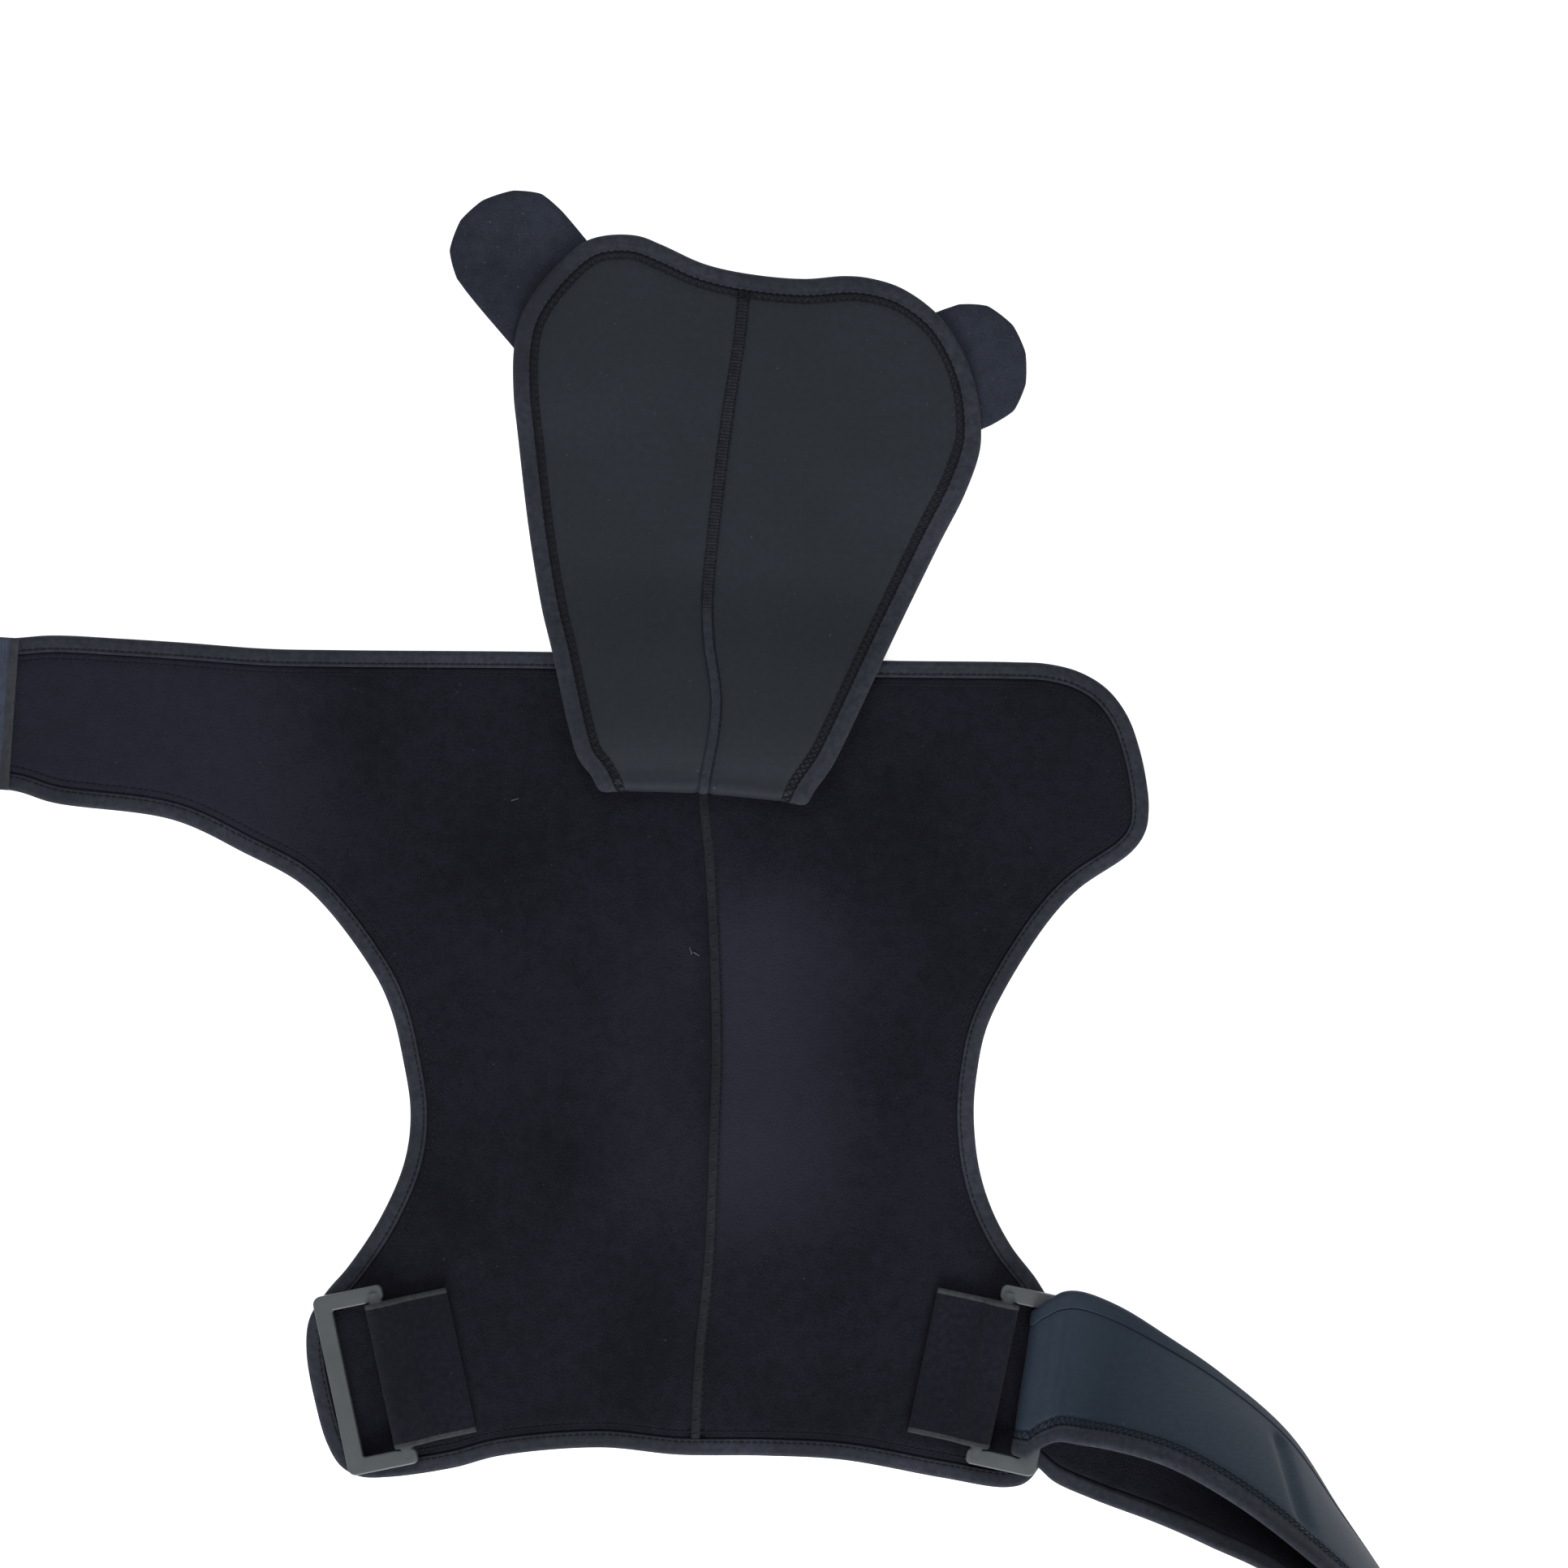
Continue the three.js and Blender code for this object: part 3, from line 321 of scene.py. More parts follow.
def smooth(rows, per_row):
    """A centripetal curve through the rows of a table, with some points for each row."""
    rows = np.asarray(rows, float)
    ends = [2 * rows[0] - rows[1], 2 * rows[-1] - rows[-2]]
    rows = np.vstack([ends[0], rows, ends[1]])
    gaps = np.sqrt(np.linalg.norm(np.diff(rows, axis=0), axis=1))
    gaps[gaps < 1e-6] = 1.0
    made = []
    for i in range(1, len(rows) - 2):
        before, start, end, after = rows[i - 1 : i + 3]
        g0, g1, g2 = gaps[i - 1 : i + 2]
        leave = ((start - before) / g0 - (end - before) / (g0 + g1) + (end - start) / g1) * g1
        arrive = ((end - start) / g1 - (after - start) / (g1 + g2) + (after - end) / g2) * g1
        t = np.arange(per_row)[:, None] / per_row
        made.append(
            start * (2 * t**3 - 3 * t**2 + 1) + end * (3 * t**2 - 2 * t**3)
            + leave * (t**3 - 2 * t**2 + t) + arrive * (t**3 - t**2)
        )
    return np.vstack([*made, rows[-2:-1]])


def run_along(points):
    """How far along a line each of its points lies."""
    return np.concatenate([[0], np.cumsum(np.linalg.norm(np.diff(points, axis=0), axis=1))])


def read_at(places, keys, rows):
    """The columns of a table at places between its keys."""
    return np.column_stack([np.interp(places, keys, column) for column in rows.T])


def walk(points, step):
    """The same line in steps of one length."""
    run = run_along(points)
    return read_at(np.linspace(0, run[-1], max(2, round(run[-1] / step) + 1)), run, points)


def unit(vectors):
    return vectors / np.linalg.norm(vectors, axis=1)[:, None]


def leftward(path):
    """The sideways direction at each point of a plan path, to its left."""
    along = unit(np.gradient(path, axis=0))
    return np.column_stack([-along[:, 1], along[:, 0]])


def inset_by(path, inset):
    """A plan path moved to its left, which is inwards on an outline."""
    return path + leftward(path) * inset


def eased(rows, at):
    """The second column of a table at places of its first, eased like the curves."""
    keys, values = np.array(rows).T
    at = np.clip(at, keys[0], keys[-1])
    i = np.clip(np.searchsorted(keys, at, side="right") - 1, 0, len(keys) - 2)
    before, after = np.maximum(i - 1, 0), np.minimum(i + 2, len(keys) - 1)
    span = keys[i + 1] - keys[i]
    t = (at - keys[i]) / span
    leave = (values[i + 1] - values[before]) / (keys[i + 1] - keys[before]) * span
    arrive = (values[after] - values[i]) / (keys[after] - keys[i]) * span
    bend = t * t * (3 - 2 * t)
    return (
        values[i] * (1 - bend) + values[i + 1] * bend
        + leave * t * (1 - t) ** 2 - arrive * t * t * (1 - t)
    )


def ease(value, low, high):
    """0 below low, 1 above high and a smooth turn between."""
    t = np.clip((value - low) / (high - low), 0, 1)
    return t * t * (3 - 2 * t)


def ripple(x, y, length, seed):
    """A gentle unevenness between -1 and 1, from a few crossing waves."""
    chance = np.random.default_rng(seed)
    waves = [chance.uniform([0, 0, 0.7], [math.tau, math.tau, 1.5]) for _ in range(6)]
    total = sum(
        np.sin((x * math.cos(turn) + y * math.sin(turn)) * math.tau / length * quick + phase)
        for turn, phase, quick in waves
    )
    return total / len(waves)


# %% [markdown]
# ## From curves to meshes
# Two ways of making cloth serve the whole brace.
# A long narrow piece, such as tape or strap, is a section carried along a path, and joined ring to ring.
# A wide piece is cut from a plan: a Delaunay net of triangles fills the outline, closer near the edge, and
# the net is then laid twice, as the lower and the upper face, with a wall between them at the rim.

# %% Meshes
def make_piece(name, points, faces, finishes, node=None, finish_of=None):
    """A smooth mesh that rides on the brace, in the solid's place if it names a node.

    finish_of gives each face its place in finishes.
    """
    mesh = bpy.data.meshes.new(name)
    mesh.from_pydata(np.reshape(points, (-1, 3)).tolist(), [], faces)
    for finish in finishes:
        mesh.materials.append(FINISHES[finish])
    if finish_of is not None:
        mesh.polygons.foreach_set("material_index", np.asarray(finish_of, np.int32))
    mesh.shade_smooth()
    mesh.update()
    piece = add_object(name, mesh)
    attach(piece, "brace")
    if node:
        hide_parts(node)
    print(name, len(faces), "faces")
    return piece


def tube(count, size):
    """The faces of a tube of rings: its quads, and a cap for each end."""
    low, here = np.arange(count - 1)[:, None] * size, np.arange(size)[None]
    beside = (here + 1) % size
    quads = np.stack([low + here, low + beside, low + size + beside, low + size + here], axis=-1)
    return quads.reshape(-1, 4), [here[0, ::-1], here[0] + (count - 1) * size]


def turn_out(points, faces):
    """The faces with their order turned where the closed skin would be inside out."""
    volume = 0.0
    for face in faces:
        corner = points[face]
        for second, third in zip(corner[1:-1], corner[2:]):
            volume += np.dot(corner[0], np.cross(second, third))
    return faces if volume > 0 else [face[::-1] for face in faces]


def carry(name, rings, finishes, node, finish_of=None):
    """A piece whose section goes from ring to ring, with a flat face on each end."""
    rings = np.asarray(rings)
    quads, caps = tube(*rings.shape[:2])
    faces = quads.tolist() + [cap.tolist() for cap in caps]
    faces = turn_out(rings.reshape(-1, 3), faces)
    return make_piece(name, rings, faces, finishes, node, finish_of)


def within(points, loop):
    """Which points lie inside a closed plan outline."""
    odd = np.zeros(len(points), bool)
    for (ax, ay), (bx, by) in zip(loop, np.roll(loop, -1, axis=0)):
        if ay == by:
            continue
        crosses = (points[:, 1] > ay) != (points[:, 1] > by)
        odd ^= crosses & (points[:, 0] < ax + (points[:, 1] - ay) * (bx - ax) / (by - ay))
    return odd


def distance_to(points, path):
    """How far each plan point is from an open path."""
    nearest = np.full(len(points), np.inf)
    for start, end in zip(path[:-1], path[1:]):
        along = end - start
        share = np.clip((points - start) @ along / (along @ along), 0, 1)
        gap = np.linalg.norm(points - start - share[:, None] * along, axis=1)
        nearest = np.minimum(nearest, gap)
    return nearest


def lattice(low, high, step):
    """A triangular lattice of plan points over a box."""
    rows = np.arange(low[1], high[1], step * math.sqrt(3) / 2)
    columns = np.arange(low[0], high[0], step)
    x, y = np.meshgrid(columns, rows)
    x = x + (np.arange(len(rows)) % 2)[:, None] * step / 2
    return np.column_stack([x.ravel(), y.ravel()])


def net(outline, points, lines=()):
    """A net of triangles inside an outline, through extra points and along extra lines."""
    coords, edges = [*outline], [(i, (i + 1) % len(outline)) for i in range(len(outline))]
    for line in lines:
        edges += [(len(coords) + i, len(coords) + i + 1) for i in range(len(line) - 1)]
        coords += [*line]
    coords += [*points]
    INSIDE = 1
    made = delaunay_2d_cdt([Vector(p) for p in coords], edges, [], INSIDE, 1e-7)
    return np.array([tuple(p) for p in made[0]]), np.array(made[2])


def slab(plan, triangles, lower, upper):
    """A closed sheet over some of a plan's triangles: points, faces and their sides, 0 top and 1 rest."""
    used, flat = np.unique(triangles, return_inverse=True)
    flat = flat.reshape(-1, 3)
    top, bottom = upper(*plan[used].T), lower(*plan[used].T)
    count = len(used)
    edges = {(a, b) for face in flat.tolist() for a, b in zip(face, face[1:] + face[:1])}
    rim = [[b, a, a + count, b + count] for a, b in edges if (b, a) not in edges]
    faces = flat.tolist() + (flat[:, ::-1] + count).tolist() + rim
    side = [0] * len(flat) + [1] * (len(faces) - len(flat))
    return np.vstack([top, bottom]), faces, side


def cut_area(plan, triangles):
    """The area of a net in square metres."""
    return float(np.abs(np.cross(*np.diff(plan[triangles], axis=1).transpose(1, 0, 2))).sum() / 2)


def depth_in(plan, edge):
    """A function that looks up how far each point of a plan lies from the edge."""
    known = {tuple(point): gap for point, gap in zip(plan, distance_to(plan, edge))}
    return lambda x, y: np.array([known[pair] for pair in zip(x, y)])


# %% [markdown]
# ## Thread
# A stitch is a short arc of thread that dives into the cloth at both ends.
# Thousands of them are needed, so one function makes any number at once as a single mesh: it bends a
# five-sided tube from each start to each end, and lifts its middle.

# %% Stitches
STITCH = 2.6 * MM
THREAD_RADIUS = 0.26 * MM
UP = np.array([0.0, 0.0, 1.0])


def sew(name, threads, finish, radius=THREAD_RADIUS, lift=0.35 * MM):
    """Short arcs of thread in one mesh, from their starts, their ends and the way each one lifts."""
    SIDES, STEPS, SUNK = 5, 4, 0.4
    starts, ends, ups = threads
    along = unit(ends - starts)
    aside = unit(np.cross(along, ups))
    ups = np.cross(aside, along)[:, None, None]
    share = np.linspace(0, 1, STEPS)[None, :, None, None]
    turn = (np.arange(SIDES) / SIDES * math.tau)[None, None, :, None]
    middle = starts[:, None, None] * (1 - share) + ends[:, None, None] * share
    rise = ups * (lift * np.sin(math.pi * share) - radius * SUNK)
    round_it = aside[:, None, None] * np.cos(turn) + ups * np.sin(turn)
    quads, caps = tube(STEPS, SIDES)
    offsets = np.arange(len(starts))[:, None] * STEPS * SIDES
    faces = (quads[None] + offsets[:, None]).reshape(-1, 4).tolist()
    for cap in caps:
        faces += (cap[None] + offsets).tolist()
    make_piece(name, middle + rise + round_it * radius, faces, [finish])


def seam_rows(place, paths, height, crossed=True):
    """Threads along parallel plan paths, and those that cross between them: starts, ends and ups."""
    LEVEL, SHORT = 0.5 * MM, 0.06
    lines = [walk(path, STITCH) for path in paths]
    count = min(len(line) for line in lines)
    lines = [read_at(np.linspace(0, 1, count), np.linspace(0, 1, len(line)), line) for line in lines]
    near, far = 1 - SHORT, SHORT
    pairs = [(line[:-1] * near + line[1:] * far, line[:-1] * far + line[1:] * near) for line in lines]
    if crossed:
        for first, second in zip(lines[:-1], lines[1:]):
            pairs += [(first[:-1], second[1:]), (second[1:], first[1:])]
    starts, ends = [np.vstack(group) for group in zip(*pairs)]
    low, high = place(*starts.T, height), place(*starts.T, height + LEVEL)
    return low, place(*ends.T, height), (high - low) / LEVEL


# %% [markdown]
# ## The body's outline
# The two panels, their wings and arms share one outline, bound all round with tape.
# The tables say where it runs, as shares of the few sizes that a pattern cutter would change.

# %% Sizes of the sheet
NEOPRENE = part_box("panel_left")[1].z
TAPE_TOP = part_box("body_binding")[1].z
GAP = 0.3 * MM
TAPE_WIDTH = 6.6 * MM
TAPE_WALL = 1.0 * MM
TAPE_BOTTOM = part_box("body_binding")[0].z
LIP_INSET = TAPE_WALL + GAP
SEAM_WIDTH = 2.6 * MM
SEAM_GAP = SEAM_WIDTH / 2 + GAP
WAIST = 222 * MM
HALF_WAIST = WAIST / 2
SHOULDER_RISE = 181 * MM
HEM_DROP = 135.4 * MM
LEFT_ARM_REACH = 268 * MM
RIGHT_ARM_REACH = 180 * MM
LEFT_WING_REACH = 152 * MM
RIGHT_WING_REACH = 145 * MM
ARM_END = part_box("panel_left")[0].x
print("sheet", NEOPRENE / MM, "mm thick")

# %% Tables of the outline
# Each row is how far out, or across, and how far up.
LEFT_ARM_UNDERSIDE = [
    (1.25, 0.71), (1.0, 0.7), (0.895, 0.673), (0.596, 0.636), (0.421, 0.566), (0.259, 0.486),
    (0.096, 0.309), (0.049, 0.223), (0.02, 0.12), (0, 0),
]
LEFT_WING = [
    (0.056, -0.142), (0.288, -0.307), (0.598, -0.449), (0.8, -0.52), (0.97, -0.6), (1.0, -0.697),
    (0.91, -0.853), (0.8, -0.965), (0.67, -1.03), (0.49, -1.06), (0.21, -1.062),
]
HEM = [
    (-0.847, -1.035), (-0.682, -1.0), (-0.327, -0.976), (-0.052, -0.997), (0.26, -1.0),
    (0.535, -1.012), (0.887, -1.064),
]
RIGHT_WING = [
    (0.382, -1.092), (0.62, -1.075), (0.82, -1.0), (0.95, -0.874), (1.0, -0.731), (0.94, -0.591),
    (0.746, -0.494), (0.429, -0.388), (0.195, -0.274), (0.055, -0.154),
]
RIGHT_ARM = [
    (0, 0), (0.019, 0.087), (0.069, 0.178), (0.18, 0.269), (0.42, 0.412), (0.596, 0.485),
    (0.9, 0.566), (0.98, 0.61), (1.0, 0.66), (0.988, 0.715), (0.947, 0.79), (0.877, 0.863),
    (0.762, 0.921), (0.605, 0.958), (0.42, 0.976), (0.2, 0.98),
]
TOP_EDGE = [(0.7, 0.983), (0.1, 0.992), (-0.5, 1.002)]
LEFT_ARM_TOP = [
    (0.177, 1.006), (0.36, 1.009), (0.564, 1.022), (0.727, 1.031), (0.9, 1.038), (1.0, 1.032), (1.25, 1.026),
]
BODY_SEAM = [
    (0.002, -1.3), (0.006, -0.94), (0.014, -0.68), (0.029, -0.44), (0.039, -0.06),
    (0.043, 0.12), (0.041, 0.3), (0.031, 0.55), (0.02, 0.7), (0.024, 1.2),
]


def height_of(up):
    return up * (HEM_DROP if up < 0 else SHOULDER_RISE)


def limb(rows, side, reach):
    """Places on an arm or wing, from the waist's edge outwards."""
    return [(side * (HALF_WAIST + out * (reach - HALF_WAIST)), height_of(up)) for out, up in rows]


def middle(rows, half):
    """Places across the middle of the body."""
    return [(across * half, height_of(up)) for across, up in rows]


whole_outline = smooth([
    *limb(LEFT_ARM_UNDERSIDE, -1, LEFT_ARM_REACH), *limb(LEFT_WING, -1, LEFT_WING_REACH),
    *middle(HEM, HALF_WAIST), *limb(RIGHT_WING, 1, RIGHT_WING_REACH),
    *limb(RIGHT_ARM, 1, RIGHT_ARM_REACH), *middle(TOP_EDGE, HALF_WAIST),
    *limb(LEFT_ARM_TOP, -1, LEFT_ARM_REACH),
], PER_ROW)


def cut_at_arm_end(path):
    """The part of a path right of the arm's end, with its ends on the cut."""
    kept = path[path[:, 0] > ARM_END + 0.2 * MM]
    return np.vstack([(ARM_END, kept[0, 1]), kept, (ARM_END, kept[-1, 1])])


FINE_STEP = 1.3 * MM
body_edge = walk(cut_at_arm_end(whole_outline), FINE_STEP)
body_seam_line = smooth(middle(BODY_SEAM, WAIST), PER_ROW)
print("bound edge", round(FINE_STEP * len(body_edge), 2), "m long")

# %% [markdown]
# ## The panels
# Neoprene bends but hardly drapes, so the panels lie flat with a faint unevenness and need no simulation.
# Under the tape the sheet is squeezed thin, then it swells, dips at the second row of stitching and levels
# out. That profile goes from the edge inwards, so the net has rings of points at its distances.
# The body is filled once, and its triangles are then shared out left and right of the seam.

# %% The body's net
# Distance from the edge, and there the height of the pile face and of the outer face, in millimetres.
EDGE_PROFILE = [
    (0, 2.4, 1.4), (6.4, 2.45, 1.35), (7.2, 2.95, 0.4), (8.2, 3.35, 0.0), (9.4, 3.0, 0.0),
    (10.6, 3.4, 0.0), (12.5, 3.5, 0.0),
]
edge_at, edge_top, edge_bottom = np.array(EDGE_PROFILE).T * MM
edge_top = edge_top / edge_top[-1] * NEOPRENE
RING_STEP = 2.6 * MM
NET_STEP = 4.2 * MM
FIRST_RING, LAST_RING, FILL_FROM = 3.5 * MM, 15.5 * MM, 18 * MM


def rings_inside(edge):
    """Points along an edge moved inwards to each distance of the profile."""
    coarse = walk(edge, RING_STEP)
    return np.vstack([inset_by(coarse, inset) for inset in [FIRST_RING, *edge_at[1:], LAST_RING]])


def fill(edge, step):
    """Lattice points further in than those rings."""
    grid = lattice(edge.min(0), edge.max(0), step)
    return grid[distance_to(grid, walk(edge, NET_STEP)) > FILL_FROM]


def both_sides(line, *outs):
    """A line moved left and right by each distance."""
    return [line + (side * out, 0) for side in (-1, 1) for out in outs]


def body_seam_x(y):
    return np.interp(y, *body_seam_line.T[::-1])


body_lip = cut_at_arm_end(inset_by(body_edge, LIP_INSET))
body_rings = rings_inside(body_edge)
body_rings = body_rings[body_rings[:, 0] > ARM_END + GAP]
grid = fill(body_edge, NET_STEP)
grid = grid[within(grid, body_lip) & (np.abs(grid[:, 0] - body_seam_x(grid[:, 1])) > SEAM_GAP + 1.5 * MM)]
sides = np.vstack(both_sides(walk(body_seam_line, RING_STEP), SEAM_GAP + 0.9 * MM, SEAM_GAP + 2.2 * MM))
points = np.vstack([body_rings, grid, sides[within(sides, body_lip)]])
body_plan, body_net = net(body_lip[::2], points, both_sides(body_seam_line, SEAM_GAP))
print("body net:", len(body_net), "triangles")


# %% The two panels
SEAM_DIP = 0.9 * MM
UNEVEN = 0.22 * MM


def on_table(x, y, z):
    return np.column_stack([x, y, z * np.ones_like(x)])


def sheet_faces(place, depth, profile, seam_x, dip, reach, swell):
    """The lower and the upper face of a sheet that thins to its edge and dips to its seam within reach."""
    at, top, bottom = profile

    def lower(x, y):
        return place(x, y, np.interp(depth(x, y), at, bottom))

    def upper(x, y):
        inset = depth(x, y)
        valley = dip * (1 - ease(np.abs(x - seam_x(y)) - SEAM_WIDTH / 2, 0, reach))
        uneven = swell(x, y) * ease(inset, 12 * MM, 30 * MM)
        return place(x, y, np.interp(inset, at, top) - valley + uneven)

    return lower, upper


def cut_halves(word, plan, triangles, seam_x, faces_of, finishes):
    """The cloth left and right of a seam, from one net; each piece with its points."""
    middles = plan[triangles].mean(axis=1)
    from_seam = middles[:, 0] - seam_x(middles[:, 1])
    made = []
    for side, mine in (("_left", from_seam < -SEAM_GAP), ("_right", from_seam > SEAM_GAP)):
        points, faces, finish_of = slab(plan, triangles[mine], *faces_of)
        piece = make_piece(word + side + "_cloth", points, faces, finishes, word + side, finish_of)
        area = cut_area(plan, triangles[mine])
        made.append((piece, points))
    return made


def painted_sheen_at(points):
    """Painted sheen: how much paler the pile is painted where its brushed nap catches the light, most just
    right of the seam, halfway up the back.
    """
    x, y = points[:, 0], points[:, 1]
    out = x - body_seam_x(y)
    beside = ease(out, 0, 4 * MM) * (1 - ease(out, 14 * MM, 75 * MM))
    beside += 0.35 * ease(out, -60 * MM, -25 * MM) * (1 - ease(out, -12 * MM, 0))
    along = ease(y, -75 * MM, -10 * MM) * (1 - ease(y, 60 * MM, 110 * MM))
    return beside * along + 0.6 * ease(-x, 120 * MM, 190 * MM)


body_faces = sheet_faces(
    on_table, depth_in(body_plan, walk(body_edge, RING_STEP)), (edge_at, edge_top, edge_bottom),
    body_seam_x, SEAM_DIP, 3.2 * MM, lambda x, y: UNEVEN * ripple(x, y, 90 * MM, 3),
)
panels = cut_halves(
    "panel", body_plan, body_net, body_seam_x, body_faces, ["loop_pile", "jersey"],
)
# Painted sheen: each point of the panels stores how much paler its pile is painted.
for panel, points in panels:
    brushed = panel.data.attributes.new("painted_sheen", "FLOAT", "POINT")
    brushed.data.foreach_set("value", painted_sheen_at(points).astype(np.float32))

# %% [markdown]
# ## Tape
# Stretch tape is folded over the raw edge and sewn through both leaves.
# Its section is a narrow U with a round nose. The stitch line pulls a groove into the upper leaf, and pulls
# harder at each needle hole than between two, so the section changes from ring to ring along the path.

# %% The tape's section
PUCKER = 0.16 * MM
GROOVE_AT = 5.3 * MM


def tape_section(pull):
    """Insets from the edge and heights of the folded tape, where its stitching pulls by a share."""
    inner = np.linspace(TAPE_WIDTH, 1.6 * MM, 10)
    groove = np.exp(-(((inner - GROOVE_AT) / (0.55 * MM)) ** 2)) * PUCKER * pull
    crown = 0.14 * MM * np.sin(math.pi * np.clip(inner / TAPE_WIDTH, 0, 1))
    free = 0.2 * MM * (inner > TAPE_WIDTH - 0.2 * MM) * (pull > 0)
    half = (TAPE_TOP - TAPE_BOTTOM) / 2
    turn = np.linspace(math.pi / 2, math.pi * 1.5, 9)[1:-1]
    nose = np.column_stack([1.6 * MM * (1 + np.cos(turn)), TAPE_BOTTOM + half * (1 + np.sin(turn))])
    under = np.column_stack([inner[::-3], np.full(4, TAPE_BOTTOM)])
    upper = np.column_stack([inner, TAPE_TOP - groove + crown - free])
    pocket = [
        (TAPE_WIDTH, TAPE_BOTTOM + TAPE_WALL), (TAPE_WALL, TAPE_BOTTOM + TAPE_WALL),
        (TAPE_WALL, TAPE_TOP - TAPE_WALL), (TAPE_WIDTH, TAPE_TOP - TAPE_WALL),
    ]
    return np.vstack([upper, nose, under, pocket])


def bind(name, path, place, node, finish="tape", pulls=(0.8, 2.2)):
    """Tape with its left side on the cloth, laid by place; pulls are those between and at needle holes."""
    inward = leftward(path)
    sections = [tape_section(pull) for pull in pulls]
    rings = []
    for i, point in enumerate(path):
        section = sections[i % 2]
        plan = point + inward[i] * section[:, :1]
        rings.append(place(*plan.T, section[:, 1]))
    carry(name, rings, [finish], node)


bind("body_tape", body_edge, on_table, "body_binding")

# %% Stitches along the body's edge
SECOND_ROW = 9.4 * MM
EDGE_ROWS = {
    "body_tape_stitches": (GROOVE_AT, TAPE_TOP - PUCKER),
    "body_inner_stitches": (SECOND_ROW, 3.0 * MM),
}
for name, (inset, height) in EDGE_ROWS.items():
    sew(name, seam_rows(on_table, [cut_at_arm_end(inset_by(body_edge, inset))], height), "thread")

# %% [markdown]
# ## The centre seam
# The panels meet edge to edge and are joined over a rolled ridge, a little paler than the pile.
# The ridge is a crowned section carried along the seam and pinched at every stitch. Dark thread runs down
# its right side, and short threads cross it.

# %% The body's seam
SEAM_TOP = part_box("body_seam")[1].z
ROUND = np.linspace(0, math.pi, 9)
COVERS = SEAM_GAP + 0.35 * MM
PINCH = 0.12 * MM


def ridge_along(name, path, place, wide, shoulder, low, crown, finish, node):
    """A crowned ridge along a plan path, on a neck that fills the gap between the panels."""
    half = SEAM_WIDTH / 2
    rings = []
    for (x, y), reach, base, foot, rise in zip(path, wide, shoulder, low, crown):
        across = np.concatenate([reach * np.cos(ROUND), [-half, -half, half, half]])
        height = np.concatenate([base + rise * np.sin(ROUND), [base, foot, foot, base]])
        rings.append(place(x + across, np.full(len(across), y), height))
    carry(name, rings, [finish], node)


def inside_tape(path, lip, edge):
    """The points of a path that the tape leaves free."""
    return path[within(path, lip) & (distance_to(path, walk(edge, RING_STEP)) > TAPE_WIDTH + GAP)]


fold_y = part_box("flap_right")[0].y
path = walk(body_seam_line, STITCH / 2)
path = path[within(path, body_lip)]
pinched = np.arange(len(path)) % 2
taped = distance_to(path, walk(body_edge, RING_STEP)) < TAPE_WIDTH + GAP
open_top = np.where(path[:, 1] > fold_y, NEOPRENE, SEAM_TOP - 0.25 * MM * pinched)
top = np.where(taped, 2.4 * MM, open_top)
low = np.where(taped, 1.4 * MM, 0.0)
shoulder = np.where(taped, top - 0.2 * MM, NEOPRENE - SEAM_DIP + 0.05 * MM)
wide = np.where(taped, SEAM_WIDTH / 2, COVERS - PINCH * pinched)
ridge_along("body_seam_ridge", path, on_table, wide, shoulder, low, top - shoulder, "seam_yarn", "body_seam")

shown = walk(body_seam_line[body_seam_line[:, 1] < fold_y], STITCH)
shown = inside_tape(shown, body_lip, body_edge)
row = on_table(*(shown + (COVERS + 0.15 * MM, 0)).T, NEOPRENE - 0.7 * MM)
sew("body_seam_side_stitches", (row[:-1], row[1:], UP), "thread")
over = [on_table(*(shown[::2] + (out * 1.1 * MM, out * 0.4 * MM)).T, SEAM_TOP - 0.5 * MM) for out in (-1, 1)]
sew("body_seam_cross_stitches", (*over, UP), "tape", radius=0.2 * MM, lift=0.55 * MM)

# %% Lint on the pile
# Where each fleck lies, in millimetres, and which way it points.
LINT_AT = [(-69.8, 123.2, 0.3), (-0.6, 63.7, 1.9), (1.6, 62.4, 2.6)]
LINT_HALF = 1.5 * MM
x, y, turn = np.array(LINT_AT).T
ends = [
    on_table(x * MM + way * np.cos(turn), y * MM + way * np.sin(turn), NEOPRENE + 0.1 * MM)
    for way in (-LINT_HALF, LINT_HALF)
]
sew("lint", (*ends, UP), "lint", 0.14 * MM, 0.4 * MM)

# %% [markdown]
# ## The neck flap
# The flap is sewn to the body by a lap that shows nowhere, turns over in a soft fold and arches down to the
# table. One function lays a place of the flat cut, across and along, on that folded shape, with its height
# in the sheet. So the flap is cut flat like the body, and its cloth, tape and thread are bent the same way.

# %% Sizes of the flap
FLAP_WIDTH = 184 * MM
FLAP_LENGTH = 222 * MM
FLAP_LAP = 24 * MM
FLAP_BEND = 0.8 * MM
FLAP_ARCH = 11.6 * MM
FLAP_ROLL = 90 * MM
FLAP_ROOT = (0.018 * WAIST, 0.682 * SHOULDER_RISE)
FOLD_RISE = 0.013
FOLD_DIP = 0.165
FOLD_DIP_FROM = 0.16
TAB_WIDTH = 49 * MM
TAB_LENGTH = 58 * MM
TAB_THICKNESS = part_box("tab_left")[1].z
TAB_LIFT_SPREAD = 28 * MM
